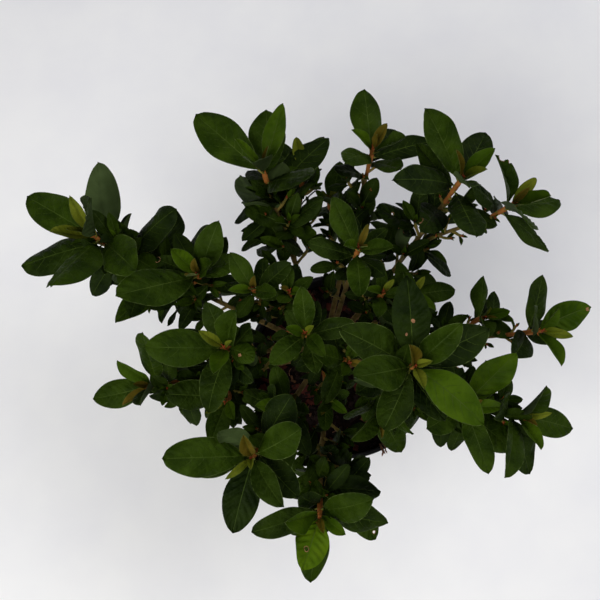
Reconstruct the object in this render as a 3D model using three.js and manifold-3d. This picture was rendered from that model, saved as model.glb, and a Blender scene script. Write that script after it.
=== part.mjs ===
// A young evergreen azalea in a black nursery pot, as it stands on a bench, in millimetres.
// +X is to the right, +Y to the back and +Z up. The origin is the centre of the pot's underside.
// A short woody stem stands in bark compost and forks at once into slender boughs. Each bough ends
// where its foliage begins. A foliage mass is the rest of that bough, its side shoots and its twigs,
// with elliptical leaves set round them in a spiral and crowded at the tips.
import * as THREE from 'three';
import { mergeVertices } from 'three/addons/utils/BufferGeometryUtils.js';
import Module from 'manifold-3d';

const wasm = await Module();
wasm.setup();

// The gap that touching pieces keep.
const GAP = 0.3;

// The pot: a tapered thin pot with a collar and a lip at its rim, and drain holes round its foot.
const RIM_RADIUS = 70;
const POT_HEIGHT = 120;
const FOOT_RADIUS = 50;
const WALL = 1.6;
const FLOOR_THICKNESS = 3;
const COLLAR_HEIGHT = 20;
const COLLAR_STEP = 2;
const COLLAR_TAPER = 1;
const LIP_HEIGHT = 3;
const LIP_WIDTH = 1.4;
const LIP_BEVEL = 0.7;
const FOOT_BEVEL = 2;
const POT_SIDES = 40;
const DRAIN_HOLES = 8;
const DRAIN_SIDES = 8;
const DRAIN_RADIUS = 4;
const DRAIN_HEIGHT = 7;
const DRAIN_CUT = 12;

// The compost: level round the stem and a little lower along the wall.
const SOIL_LEVEL = 108;
const SOIL_FLAT_RADIUS = 36;
const SOIL_DIP = 2.5;
const SOIL_GAP = 1.4 * GAP;

// The stem: its foot on the compost, its lean, and its radius from the root flare to the fork.
const STEM_FOOT = new THREE.Vector3(-14, 10, SOIL_LEVEL + GAP);
const STEM_LEAN = new THREE.Vector3(5, -4, 44);
const STEM_RADII = [8.6, 6.4, 5.5, 5.1, 4.9, 4.7, 4.4, 4.1, 3];
const STEM_SIDES = 12;
const STEM_BUTTRESSES = 5;
const BUTTRESS_DEPTH = 0.22;
const STEM_GAP = 1.5 * GAP;

// Limbs and twigs.
const BOUGH_RADIUS = 2.1;
const SIDE_RADIUS = 1.35;
const TIP_RADIUS = 1.25;
const BOUGH_SIDES = 6;
const BOUGH_STEPS = 5;
const SHOOT_SIDES = 3;
const SHOOT_STEP = 14;
const PATH_STEPS = 24;

// Where leaves begin: past the foot of a mass, and on a side shoot as a share of its length.
const BARE_FOOT = 3;
const BARE_SIDE = 0.12;

// Short twigs of small leaves that fill in along a shoot.
const TWIG_LENGTH = 17;
const TWIG_RADII = [1.1, 0.9];
const TWIG_BARE = 2;
const TWIG_LEAVES = 6;
const TWIG_LEAF_SHARE = 0.55;
const TWIG_TILT = 52;
const TWIG_FIRST = 0.3;
const TWIG_LAST = 0.8;

// The spiral of leaves, how close they sit, and how they open from bud to full leaf.
const SPIRAL = 137.5;
const YOUNG = 4;
const CROWDED = 9;
const TIP_DEPTH = 1.2;
const CROWD_SPACING = 0.55;
const CROWD_GROWTH = 0.09;
const NODE_SPACING = 8.5;
const YOUNG_SIZES = [0.3, 0.42, 0.56, 0.76];
const YOUNG_TILTS = [16, 26, 38, 50];
const FULL_TILTS = [58, 66, 72, 76, 79];
const OLD_SHRINK = 0.02;
const UPWARD = 0.2;
const TURN_RANGE = 12;
const TILT_RANGE = 8;
const SIZE_RANGE = 0.09;

// A leaf's own shape, as shares of its length: its stalk, its width, where it is widest, how blunt
// it is, how far it bends down, its keel, and how much of its face looks up and how much inwards.
const STALK = 0.09;
const YOUNG_WIDTH = 0.34;
const YOUNG_WIDENING = 0.04;
const FULL_WIDTH = 0.54;
const WIDEST = 1.1;
const BLUNTNESS = 0.72;
const BEND = 0.1;
const KEEL = 0.02;
const FACE_UP = 0.7;
const FACE_IN = 0.6;
const STATIONS = [0.3, 0.72];
const YOUNG_STATIONS = [0.5];
const STALK_HALF_WIDTH = 0.5;
const STALK_DEPTH = 0.75;

// A leaf with too little room is tilted or made smaller before it is left out: each try is a change
// of tilt in degrees and a share of its size.
const TRIES = [[0, 1], [-9, 1], [9, 1], [0, 0.84], [-16, 0.84], [0, 0.7], [-20, 0.7], [0, 0.56]];
const TEST_SHARES = [0.25, 0.5, 0.75];
const PANEL_SHARES = [0.2, 0.5, 0.8];
const NEAR_SHARE = 0.6;
const SPACE_MARGIN = 2.2;
const TWIG_CLEARANCE = 1.6;
const LIMB_CLEARANCE = 3.5;
const RIM_CLEARANCE = 4;

// The repeatable random numbers.
const RANDOM_START = 9973;
const RANDOM_STEP = 7919;
const RANDOM_FACTOR = 48271;
const RANDOM_PERIOD = 2147483647;
const LEAF_SEED = 101;

// Every bough with its shoots. A socket is where the bough leaves the stem: the height above the
// compost, and the direction in degrees, from +X towards +Y. rise is how steeply it leaves. bare is
// the share of the bough that carries no foliage. A shoot's tip is given round the stem's foot: its
// direction, its reach outwards and its height above the compost. lean is how far the tip has
// tipped over from upright. from is where a side shoot leaves the main shoot, as a share of its
// length. leaves is how many leaves it can carry and leaf is the length of a full one. turn is
// where the first full leaf points round the tip, hand is the way that the spiral runs, and twigs
// is how many short twigs the shoot has. fallen lists the leaves that the shoot has lost, counted
// from its tip.
const BOUGHS = [
  {
    name: 'left', socket: [13, 160], rise: 38, bare: 0.4,
    shoots: [
      { tip: [158, 168, 97], lean: 38, leaves: 17, leaf: 64, turn: 130, hand: 1, fallen: [6, 10] },
      { from: 0.56, tip: [157, 92, 97], lean: 18, leaves: 9, leaf: 54, turn: 215, hand: -1 },
    ],
  },
  {
    name: 'back_left', socket: [23, 112], rise: 48, bare: 0.42,
    shoots: [
      { tip: [112, 110, 117], lean: 34, leaves: 15, leaf: 58, turn: 137, hand: -1, fallen: [5, 6, 9] },
      { from: 0.5, tip: [98, 113, 95], lean: 36, leaves: 10, leaf: 42, turn: 50, hand: -1, twigs: 1 },
    ],
  },
  {
    name: 'back', socket: [14, 80], rise: 42, bare: 0.45,
    shoots: [
      { tip: [75, 125, 107], lean: 32, leaves: 11, leaf: 40, turn: 105, hand: 1, twigs: 1, fallen: [7] },
      { from: 0.56, tip: [88, 97, 72], lean: 30, leaves: 9, leaf: 32, turn: 60, hand: 1 },
    ],
  },
  {
    name: 'back_right', socket: [20, 42], rise: 44, bare: 0.42,
    shoots: [
      {
        tip: [46, 124, 132], lean: 24, leaves: 15, leaf: 50, turn: 122,
        hand: -1, twigs: 2, fallen: [5, 10, 13],
      },
      {
        from: 0.6, tip: [33, 146, 112], lean: 52, leaves: 11, leaf: 46, turn: 35,
        hand: -1, fallen: [6, 10],
      },
    ],
  },
  {
    name: 'right', socket: [12, 2], rise: 36, bare: 0.42,
    shoots: [
      { tip: [359, 140, 97], lean: 50, leaves: 10, leaf: 39, turn: 30, hand: 1, twigs: 1, fallen: [6] },
      { from: 0.6, tip: [5, 106, 85], lean: 40, leaves: 8, leaf: 31, turn: 105, hand: -1, fallen: [6] },
    ],
  },
  {
    name: 'front_right', socket: [21, 332], rise: 42, bare: 0.44,
    shoots: [
      { tip: [329, 103, 107], lean: 22, leaves: 11, leaf: 42, turn: 275, hand: 1, twigs: 1, fallen: [9] },
      {
        from: 0.6, tip: [335, 137, 92], lean: 50, leaves: 12, leaf: 44, turn: 335,
        hand: -1, fallen: [6, 9, 10],
      },
    ],
  },
  {
    name: 'front', socket: [13, 272], rise: 34, bare: 0.4,
    shoots: [
      { tip: [268, 120, 77], lean: 56, leaves: 14, leaf: 43, turn: 275, hand: 1, twigs: 1 },
      { from: 0.66, tip: [278, 112, 67], lean: 45, leaves: 9, leaf: 34, turn: 300, hand: 1, fallen: [7] },
    ],
  },
  {
    name: 'front_left', socket: [23, 240], rise: 40, bare: 0.42,
    shoots: [
      { tip: [241, 96, 107], lean: 22, leaves: 13, leaf: 48, turn: 170, hand: -1, twigs: 1 },
      { from: 0.5, tip: [244, 56, 90], lean: 10, leaves: 11, leaf: 46, turn: 110, hand: 1, twigs: 1 },
    ],
  },
  {
    name: 'left_front', socket: [18, 205], rise: 34, bare: 0.42,
    shoots: [
      { tip: [196, 123, 67], lean: 52, leaves: 6, leaf: 46, turn: 205, hand: -1, twigs: 1 },
      { from: 0.55, tip: [214, 80, 72], lean: 34, leaves: 8, leaf: 38, turn: 250, hand: 1 },
    ],
  },
  {
    name: 'middle_left', socket: [30, 190], rise: 52, bare: 0.42,
    shoots: [
      { tip: [194, 66, 112], lean: 12, leaves: 14, leaf: 45, turn: 195, hand: 1, twigs: 1 },
    ],
  },
  {
    name: 'middle_right', socket: [36, 320], rise: 50, bare: 0.45,
    shoots: [
      { tip: [325, 60, 154], lean: 6, leaves: 15, leaf: 48, turn: 190, hand: 1 },
      { from: 0.5, tip: [302, 66, 90], lean: 40, leaves: 9, leaf: 35, turn: 285, hand: 1, twigs: 1 },
    ],
  },
  {
    name: 'middle_back', socket: [32, 75], rise: 54, bare: 0.42,
    shoots: [
      { tip: [66, 50, 122], lean: 14, leaves: 12, leaf: 35, turn: 130, hand: 1, twigs: 1 },
    ],
  },
  {
    name: 'middle_back_right', socket: [29, 5], rise: 52, bare: 0.45,
    shoots: [
      { tip: [30, 43, 104], lean: 12, leaves: 10, leaf: 27, turn: 110, hand: 1, twigs: 1 },
      { from: 0.5, tip: [21, 61, 98], lean: 20, leaves: 10, leaf: 30, turn: 20, hand: -1 },
    ],
  },
  {
    name: 'middle_back_left', socket: [37, 140], rise: 50, bare: 0.45,
    shoots: [
      { tip: [155, 52, 110], lean: 14, leaves: 11, leaf: 28, turn: 110, hand: 1, twigs: 1 },
      { from: 0.5, tip: [138, 32, 107], lean: 10, leaves: 9, leaf: 27, turn: 250, hand: 1 },
    ],
  },
  {
    name: 'middle_front', socket: [41, 262], rise: 86, bare: 0.4,
    shoots: [
      { tip: [213, 16, 120], lean: 6, leaves: 13, leaf: 29, turn: 90, hand: 1, twigs: 1 },
      { from: 0.45, tip: [300, 28, 104], lean: 14, leaves: 11, leaf: 30, turn: 300, hand: -1, twigs: 1 },
      { from: 0.42, tip: [272, 46, 86], lean: 34, leaves: 11, leaf: 29, turn: 250, hand: 1, twigs: 1 },
    ],
  },
];

const UP = new THREE.Vector3(0, 0, 1);
const RIGHT = new THREE.Vector3(1, 0, 0);

function radians(degrees) {
  return (degrees * Math.PI) / 180;
}

// A repeatable stream of numbers from 0 to 1.
function numbers(seed) {
  let state = RANDOM_START + seed * RANDOM_STEP;
  return () => {
    state = (state * RANDOM_FACTOR) % RANDOM_PERIOD;
    return state / RANDOM_PERIOD;
  };
}

function spread(random, range) {
  return (2 * random() - 1) * range;
}

// A point round the stem's foot.
function place(azimuth, reach, height) {
  const a = radians(azimuth);
  return STEM_FOOT.clone().add(new THREE.Vector3(reach * Math.cos(a), reach * Math.sin(a), height));
}

// The direction that leans away from upright towards an azimuth.
function leaning(azimuth, lean) {
  const a = radians(azimuth);
  const l = radians(lean);
  return new THREE.Vector3(Math.sin(l) * Math.cos(a), Math.sin(l) * Math.sin(a), Math.cos(l));
}

// A centreline from a start and a first direction to a tip and its last direction, as points with
// the distance run at each.
function pathBetween(start, firstDirection, tip, lastDirection) {
  const handle = start.distanceTo(tip) / 3;
  const curve = new THREE.CubicBezierCurve3(
    start,
    start.clone().addScaledVector(firstDirection, handle),
    tip.clone().addScaledVector(lastDirection, -handle),
    tip,
  );
  const points = curve.getPoints(PATH_STEPS);
  const runs = [0];
  for (let i = 1; i <= PATH_STEPS; i += 1) {
    runs.push(runs[i - 1] + points[i].distanceTo(points[i - 1]));
  }
  return { points, runs, length: runs[PATH_STEPS] };
}

// The point and direction at a distance along a path.
function along(path, distance) {
  const d = Math.min(Math.max(distance, 0), path.length);
  let i = 1;
  while (i < PATH_STEPS && path.runs[i] < d) {
    i += 1;
  }
  const share = (d - path.runs[i - 1]) / (path.runs[i] - path.runs[i - 1]);
  const step = path.points[i].clone().sub(path.points[i - 1]);
  return {
    point: path.points[i - 1].clone().addScaledVector(step, share),
    direction: step.normalize(),
  };
}

// Two directions across an axis: the first as near +X as it can be, the second towards +Y.
function across(axis) {
  const side = RIGHT.clone().addScaledVector(axis, -RIGHT.dot(axis)).normalize();
  return [side, new THREE.Vector3().crossVectors(axis, side)];
}

// The direction tilted away from an axis towards an azimuth round it.
function tilted(axis, azimuth, tilt) {
  const [side, back] = across(axis);
  const a = radians(azimuth);
  const t = radians(tilt);
  return axis.clone().multiplyScalar(Math.cos(t))
    .addScaledVector(side, Math.sin(t) * Math.cos(a))
    .addScaledVector(back, Math.sin(t) * Math.sin(a));
}

// The main shoot of a bough, which is the bough's own centreline, and the side shoots from it.
function mainAndSideShoots(bough) {
  const [socketHeight, socketAzimuth] = bough.socket;
  const start = STEM_FOOT.clone().addScaledVector(STEM_LEAN, socketHeight / STEM_LEAN.z);
  const shoots = [];
  for (const shoot of bough.shoots) {
    const main = shoots[0];
    const [azimuth, reach, height] = shoot.tip;
    const tip = place(azimuth, reach, height);
    let foot = { point: start, direction: leaning(socketAzimuth, 90 - bough.rise) };
    if (main) {
      foot = along(main.path, shoot.from * main.path.length);
      foot.direction.add(tip.clone().sub(foot.point).normalize()).normalize();
    }
    const path = pathBetween(foot.point, foot.direction, tip, leaning(azimuth, shoot.lean));
    const bare = bough.bare * path.length;
    shoots.push({
      ...shoot,
      path,
      start: main ? 0 : bare,
      foliageStart: main ? BARE_SIDE * path.length : bare + BARE_FOOT,
      radii: [main ? SIDE_RADIUS : BOUGH_RADIUS, TIP_RADIUS],
    });
  }
  return shoots;
}

// The twig of that number on a shoot: a short straight shoot of small leaves.
function twigOn(shoot, number, random) {
  const share = TWIG_FIRST + ((TWIG_LAST - TWIG_FIRST) * (number + 0.5)) / shoot.twigs;
  const leafy = shoot.path.length - shoot.foliageStart;
  const foot = along(shoot.path, shoot.foliageStart + share * leafy);
  const turn = shoot.turn + SPIRAL * (number + 0.5) + spread(random, TURN_RANGE);
  const direction = tilted(foot.direction, turn, TWIG_TILT);
  direction.z += UPWARD;
  direction.normalize();
  const tip = foot.point.clone().addScaledVector(direction, TWIG_LENGTH);
  return {
    path: pathBetween(foot.point, direction, tip, direction.clone().add(UP).normalize()),
    start: 0,
    foliageStart: TWIG_BARE,
    radii: TWIG_RADII,
    leaves: TWIG_LEAVES,
    leaf: shoot.leaf * TWIG_LEAF_SHARE,
    turn,
    hand: shoot.hand,
  };
}

function shootsOf(bough, seed) {
  const random = numbers(seed);
  const shoots = mainAndSideShoots(bough);
  const twigs = [];
  for (const shoot of shoots) {
    for (let number = 0; number < (shoot.twigs ?? 0); number += 1) {
      twigs.push(twigOn(shoot, number, random));
    }
  }
  return [...shoots, ...twigs];
}

// How far down from a tip the leaf of that number sits: crowded at first, then evenly spaced.
function leafDistance(number) {
  const crowd = Math.min(number, CROWDED);
  const spaced = Math.max(0, number - CROWDED);
  return TIP_DEPTH + CROWD_SPACING * crowd + CROWD_GROWTH * crowd ** 2 + NODE_SPACING * spaced;
}

// How one leaf differs from the rule: a change of turn and tilt and a share of its size.
function difference(random) {
  return {
    turn: spread(random, TURN_RANGE),
    tilt: spread(random, TILT_RANGE),
    size: 1 + spread(random, SIZE_RANGE),
  };
}

// The leaf of that number on a shoot, counted from the youngest at the tip.
function leafAt(shoot, number, change) {
  const node = along(shoot.path, shoot.path.length - leafDistance(number));
  const young = number < YOUNG;
  const age = number - YOUNG;
  const ruled = young ? YOUNG_TILTS[number] : FULL_TILTS[Math.min(age, FULL_TILTS.length - 1)];
  const tilt = ruled + change.tilt;
  const turn = shoot.turn + shoot.hand * SPIRAL * age + change.turn;
  const direction = tilted(node.direction, turn, tilt);
  direction.z += UPWARD * Math.sin(radians(tilt));
  direction.normalize();
  const face = UP.clone().multiplyScalar(FACE_UP).addScaledVector(node.direction, FACE_IN);
  const normal = face.addScaledVector(direction, -face.dot(direction)).normalize();
  const size = young ? YOUNG_SIZES[number] : 1 - OLD_SHRINK * age;
  return {
    base: node.point,
    direction,
    normal,
    side: new THREE.Vector3().crossVectors(direction, normal),
    length: shoot.leaf * size * change.size,
    widthShare: young ? YOUNG_WIDTH + YOUNG_WIDENING * number : FULL_WIDTH,
    young,
  };
}

// Half the width of a leaf at a share of its length: a blunt ellipse, widest past its middle.
function halfWidth(leaf, share) {
  return 0.5 * leaf.widthShare * leaf.length * Math.sin(Math.PI * share ** WIDEST) ** BLUNTNESS;
}

// A point of the blade: share runs from base to tip, and edge from -1 at one margin to 1.
function bladePoint(leaf, share, edge) {
  return leaf.base.clone()
    .addScaledVector(leaf.direction, leaf.length * (STALK + share))
    .addScaledVector(leaf.normal, -BEND * leaf.length * share ** 2)
    .addScaledVector(leaf.side, edge * halfWidth(leaf, share));
}

// The nearest distance from a point to the part of a path between two distances along it.
function distanceToPath(point, path, from, to) {
  const line = new THREE.Line3();
  const nearest = new THREE.Vector3();
  let least = Infinity;
  for (let i = 1; i <= PATH_STEPS; i += 1) {
    if (path.runs[i] > from && path.runs[i - 1] < to) {
      line.set(path.points[i - 1], path.points[i]).closestPointToPoint(point, true, nearest);
      least = Math.min(least, nearest.distanceTo(point));
    }
  }
  return least;
}

function distanceToShoots(point, shoots) {
  const distances = shoots.map(({ path, start }) => distanceToPath(point, path, start, path.length));
  return Math.min(...distances);
}

// Whether a point is inside the pot or too near its rim.
function nearPot(point) {
  const outside = Math.hypot(point.x, point.y) > RIM_RADIUS + RIM_CLEARANCE;
  return !outside && point.z < POT_HEIGHT + RIM_CLEARANCE;
}

// Whether a point of a blade stays off the pot, the twigs and every limb, and is nearer to its own
// mass's shoots than to any other's.
function isFree(point, own, masses) {
  const mine = distanceToShoots(point, own.shoots);
  return !nearPot(point) && mine > TWIG_CLEARANCE && masses.every((mass) => {
    const limb = mass.shoots[0];
    const offLimb = distanceToPath(point, limb.path, 0, limb.start) > LIMB_CLEARANCE;
    return offLimb && (mass === own || distanceToShoots(point, mass.shoots) > mine + SPACE_MARGIN);
  });
}

function keepsToSpace(leaf, own, masses) {
  const points = [bladePoint(leaf, 1, 0)];
  for (const share of TEST_SHARES) {
    for (const edge of [-1, 0, 1]) {
      points.push(bladePoint(leaf, share, edge));
    }
  }
  return points.every((point) => isFree(point, own, masses));
}

// The blade past its base as triangles, with its edges and its cross lines as segments.
function addPanels(leaf) {
  const rows = PANEL_SHARES.map((share) => [-1, 0, 1].map((edge) => bladePoint(leaf, share, edge)));
  rows.push(Array(3).fill(bladePoint(leaf, 1, 0)));
  leaf.middle = bladePoint(leaf, 0.5, 0);
  leaf.triangles = [];
  leaf.segments = [];
  for (let row = 1; row < rows.length; row += 1) {
    const [low, high] = [rows[row - 1], rows[row]];
    for (let i = 0; i < 3; i += 1) {
      leaf.segments.push([low[i], high[i]]);
    }
    for (let i = 0; i < 2; i += 1) {
      leaf.segments.push([low[i], low[i + 1]]);
      leaf.triangles.push([low[i], low[i + 1], high[i]], [low[i + 1], high[i + 1], high[i]]);
    }
  }
}

function segmentCuts(segment, triangle) {
  const step = segment[1].clone().sub(segment[0]);
  const length = step.length();
  const ray = new THREE.Ray(segment[0], step.divideScalar(length));
  const hit = ray.intersectTriangle(...triangle, false, new THREE.Vector3());
  return hit !== null && hit.distanceTo(segment[0]) <= length;
}

function cuts(a, b) {
  return a.segments.some((segment) => b.triangles.some((triangle) => segmentCuts(segment, triangle)));
}

// Whether two leaves pass through each other.
function cross(a, b) {
  const near = a.middle.distanceTo(b.middle) < NEAR_SHARE * (a.length + b.length);
  return near && (cuts(a, b) || cuts(b, a));
}

// The leaf of a number, tilted or made smaller until it fits, or null where it can't.
function fittedLeaf(shoot, number, random, own, masses) {
  const change = difference(random);
  const fallen = shoot.fallen?.includes(number);
  if (fallen || shoot.path.length - leafDistance(number) < shoot.foliageStart) {
    return null;
  }
  for (const [tilt, size] of TRIES) {
    const leaf = leafAt(shoot, number, {
      turn: change.turn,
      tilt: change.tilt + tilt,
      size: change.size * size,
    });
    addPanels(leaf);
    if (keepsToSpace(leaf, own, masses) && !own.leaves.some((other) => cross(leaf, other))) {
      return leaf;
    }
  }
  return null;
}

function addLeaves(own, masses, seed) {
  const random = numbers(seed);
  own.leaves = [];
  for (const shoot of own.shoots) {
    for (let number = 0; number < shoot.leaves; number += 1) {
      const leaf = fittedLeaf(shoot, number, random, own, masses);
      if (leaf) {
        own.leaves.push(leaf);
      }
    }
  }
}

// A closed geometry as a solid that can be cut and joined.
function solidOf(geometry) {
  geometry.deleteAttribute('normal');
  geometry.deleteAttribute('uv');
  const merged = mergeVertices(geometry, 1e-4);
  return new wasm.Manifold(
    new wasm.Mesh({
      numProp: 3,
      vertProperties: new Float32Array(merged.attributes.position.array),
      triVerts: new Uint32Array(merged.index.array),
    }),
  );
}

function geometryOf(solid) {
  const mesh = solid.getMesh();
  const positions = new Float32Array(mesh.numVert * 3);
  for (let i = 0; i < mesh.numVert; i += 1) {
    positions.set(mesh.vertProperties.subarray(i * mesh.numProp, i * mesh.numProp + 3), i * 3);
  }
  const geometry = new THREE.BufferGeometry();
  geometry.setAttribute('position', new THREE.BufferAttribute(positions, 3));
  geometry.setIndex(new THREE.BufferAttribute(new Uint32Array(mesh.triVerts), 1));
  geometry.computeVertexNormals();
  return geometry;
}

// The largest body of a solid, without any scrap that came loose where leaves cut each other.
function largest(solid) {
  return solid.decompose().reduce((a, b) => (b.volume() > a.volume() ? b : a));
}

// A tapering limb: a cylinder bent along a shoot's path between two distances.
function limbSolid(shoot, from, to, sides, steps) {
  const geometry = new THREE.CylinderGeometry(1, 1, 1, sides, steps);
  const position = geometry.attributes.position;
  for (let i = 0; i < position.count; i += 1) {
    const distance = THREE.MathUtils.lerp(from, to, position.getY(i) + 0.5);
    const radius = THREE.MathUtils.lerp(...shoot.radii, distance / shoot.path.length);
    const node = along(shoot.path, distance);
    const [side, back] = across(node.direction);
    const point = node.point
      .addScaledVector(side, -radius * position.getX(i))
      .addScaledVector(back, radius * position.getZ(i));
    position.setXYZ(i, point.x, point.y, point.z);
  }
  return solidOf(geometry);
}

// A leaf: a flat blade over a keel, three-cornered in section, on a short stalk sunk in its twig.
function leafSolid(leaf) {
  const stations = leaf.young ? YOUNG_STATIONS : STATIONS;
  const corners = [
    leaf.base.clone().addScaledVector(leaf.side, -STALK_HALF_WIDTH),
    leaf.base.clone().addScaledVector(leaf.side, STALK_HALF_WIDTH),
    leaf.base.clone().addScaledVector(leaf.normal, -STALK_DEPTH),
  ];
  for (const share of stations) {
    corners.push(
      bladePoint(leaf, share, -1),
      bladePoint(leaf, share, 1),
      bladePoint(leaf, share, 0).addScaledVector(leaf.normal, -KEEL * leaf.length),
    );
  }
  corners.push(bladePoint(leaf, 1, 0));
  const faces = [0, 2, 1];
  for (let ring = 0; ring < stations.length; ring += 1) {
    for (let i = 0; i < 3; i += 1) {
      const a = ring * 3 + i;
      const b = ring * 3 + ((i + 1) % 3);
      faces.push(a, b, b + 3, a, b + 3, a + 3);
    }
  }
  const last = stations.length * 3;
  const tip = last + 3;
  faces.push(last, last + 1, tip, last + 1, last + 2, tip, last + 2, last, tip);
  const geometry = new THREE.BufferGeometry().setFromPoints(corners);
  geometry.setIndex(faces);
  return solidOf(geometry);
}

// The stem, from its flared foot to the fork. extra widens and lengthens it, for room round it.
function stemSolid(extra) {
  const steps = STEM_RADII.length - 1;
  const geometry = new THREE.CylinderGeometry(1, 1, 1, STEM_SIDES, steps);
  const position = geometry.attributes.position;
  for (let i = 0; i < position.count; i += 1) {
    const share = position.getY(i) + 0.5;
    const angle = Math.atan2(position.getZ(i), position.getX(i));
    const flare = BUTTRESS_DEPTH * (1 - share) ** 3 * Math.cos(STEM_BUTTRESSES * angle);
    const onAxis = Math.hypot(position.getX(i), position.getZ(i)) < 0.5;
    const radius = onAxis ? 0 : STEM_RADII[Math.round(share * steps)] * (1 + flare) + extra;
    const point = STEM_FOOT.clone()
      .addScaledVector(STEM_LEAN, share)
      .add(new THREE.Vector3(radius * Math.cos(angle), -radius * Math.sin(angle), 0));
    point.z += extra * (share < 0.5 ? -1 : 1);
    position.setXYZ(i, point.x, point.y, point.z);
  }
  return solidOf(geometry);
}

function boughSolid(mass, stemRoom) {
  const limb = mass.shoots[0];
  return limbSolid(limb, 0, limb.start - GAP, BOUGH_SIDES, BOUGH_STEPS).subtract(stemRoom);
}

function massSolid(mass) {
  const pieces = mass.shoots.map((shoot) => {
    const steps = Math.max(2, Math.round((shoot.path.length - shoot.start) / SHOOT_STEP));
    return limbSolid(shoot, shoot.start, shoot.path.length, SHOOT_SIDES, steps);
  });
  return largest(wasm.Manifold.union([...pieces, ...mass.leaves.map(leafSolid)]));
}

// A solid turned from an outline of radius and height.
function turned(outline) {
  const points = outline.map(([radius, height]) => new THREE.Vector2(radius, height));
  return solidOf(new THREE.LatheGeometry(points, POT_SIDES).rotateX(Math.PI / 2));
}

// The heights and outer radii of the pot's wall.
const COLLAR_FOOT = POT_HEIGHT - COLLAR_HEIGHT;
const SHOULDER = COLLAR_FOOT - COLLAR_STEP;
const COLLAR_RADIUS = RIM_RADIUS - LIP_WIDTH;
const COLLAR_FOOT_RADIUS = COLLAR_RADIUS - COLLAR_TAPER;
const SHOULDER_RADIUS = COLLAR_FOOT_RADIUS - COLLAR_STEP;

// The pot, from the centre of its underside, up the outside and down the inside.
function potSolid() {
  const pot = turned([
    [0, 0],
    [FOOT_RADIUS - FOOT_BEVEL, 0],
    [FOOT_RADIUS, FOOT_BEVEL],
    [SHOULDER_RADIUS, SHOULDER],
    [COLLAR_FOOT_RADIUS, COLLAR_FOOT],
    [COLLAR_RADIUS, POT_HEIGHT - LIP_HEIGHT],
    [RIM_RADIUS, POT_HEIGHT - LIP_HEIGHT + LIP_BEVEL],
    [RIM_RADIUS, POT_HEIGHT - LIP_BEVEL],
    [RIM_RADIUS - LIP_BEVEL, POT_HEIGHT],
    [COLLAR_RADIUS - WALL, POT_HEIGHT],
    [COLLAR_FOOT_RADIUS - WALL, COLLAR_FOOT],
    [SHOULDER_RADIUS - WALL, SHOULDER],
    [FOOT_RADIUS - WALL, FLOOR_THICKNESS],
    [0, FLOOR_THICKNESS],
  ]);
  const holes = [];
  for (let i = 0; i < DRAIN_HOLES; i += 1) {
    const hole = new THREE.CylinderGeometry(DRAIN_RADIUS, DRAIN_RADIUS, DRAIN_CUT, DRAIN_SIDES);
    hole.translate(0, FOOT_RADIUS, 0);
    hole.rotateZ((i + 0.5) * radians(360 / DRAIN_HOLES));
    hole.translate(0, 0, DRAIN_HEIGHT);
    holes.push(solidOf(hole));
  }
  return pot.subtract(wasm.Manifold.union(holes));
}

// The compost fills the pot inside its wall, and its edge meets the collar part way up.
function compostSolid() {
  const edge = SOIL_LEVEL - SOIL_DIP;
  const edgeShare = (edge - COLLAR_FOOT) / COLLAR_HEIGHT;
  const edgeRadius = THREE.MathUtils.lerp(COLLAR_FOOT_RADIUS, COLLAR_RADIUS, edgeShare);
  const inset = WALL + SOIL_GAP;
  return turned([
    [0, FLOOR_THICKNESS + GAP],
    [FOOT_RADIUS - inset, FLOOR_THICKNESS + GAP],
    [SHOULDER_RADIUS - inset, SHOULDER],
    [COLLAR_FOOT_RADIUS - inset, COLLAR_FOOT + GAP],
    [edgeRadius - inset, edge],
    [SOIL_FLAT_RADIUS, SOIL_LEVEL],
    [0, SOIL_LEVEL],
  ]);
}

const MATERIALS = {
  pot: new THREE.MeshStandardMaterial({ color: 0x17181a, roughness: 0.5 }),
  compost: new THREE.MeshStandardMaterial({ color: 0x3a1f18, roughness: 0.95 }),
  bark: new THREE.MeshStandardMaterial({ color: 0x6b5428, roughness: 0.85 }),
  foliage: new THREE.MeshStandardMaterial({ color: 0x24400f, roughness: 0.5 }),
};

const azalea = new THREE.Group();

function addNode(name, solid, material) {
  const mesh = new THREE.Mesh(geometryOf(solid), material);
  mesh.name = name;
  azalea.add(mesh);
}

addNode('pot', potSolid(), MATERIALS.pot);
addNode('compost', compostSolid(), MATERIALS.compost);
addNode('stem', stemSolid(0), MATERIALS.bark);

const masses = BOUGHS.map((bough, index) => ({ name: bough.name, shoots: shootsOf(bough, index + 1) }));
const stemRoom = stemSolid(STEM_GAP);
masses.forEach((mass, index) => {
  addLeaves(mass, masses, LEAF_SEED + index);
  addNode(`bough_${mass.name}`, boughSolid(mass, stemRoom), MATERIALS.bark);
  addNode(`foliage_${mass.name}`, massSolid(mass), MATERIALS.foliage);
});

export default azalea;
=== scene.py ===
# The looks of a young evergreen azalea in a black nursery pot, built round its solids.
# The rule that grows the shoots and the leaves is the one that the solids come from. The rule's
# sizes are in millimetres and the finished meshes in metres. +X is to the right, +Y to the back
# and +Z up, from the centre of the pot's underside.
import math
from types import SimpleNamespace

import bpy
import numpy as np
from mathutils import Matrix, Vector, noise


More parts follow.
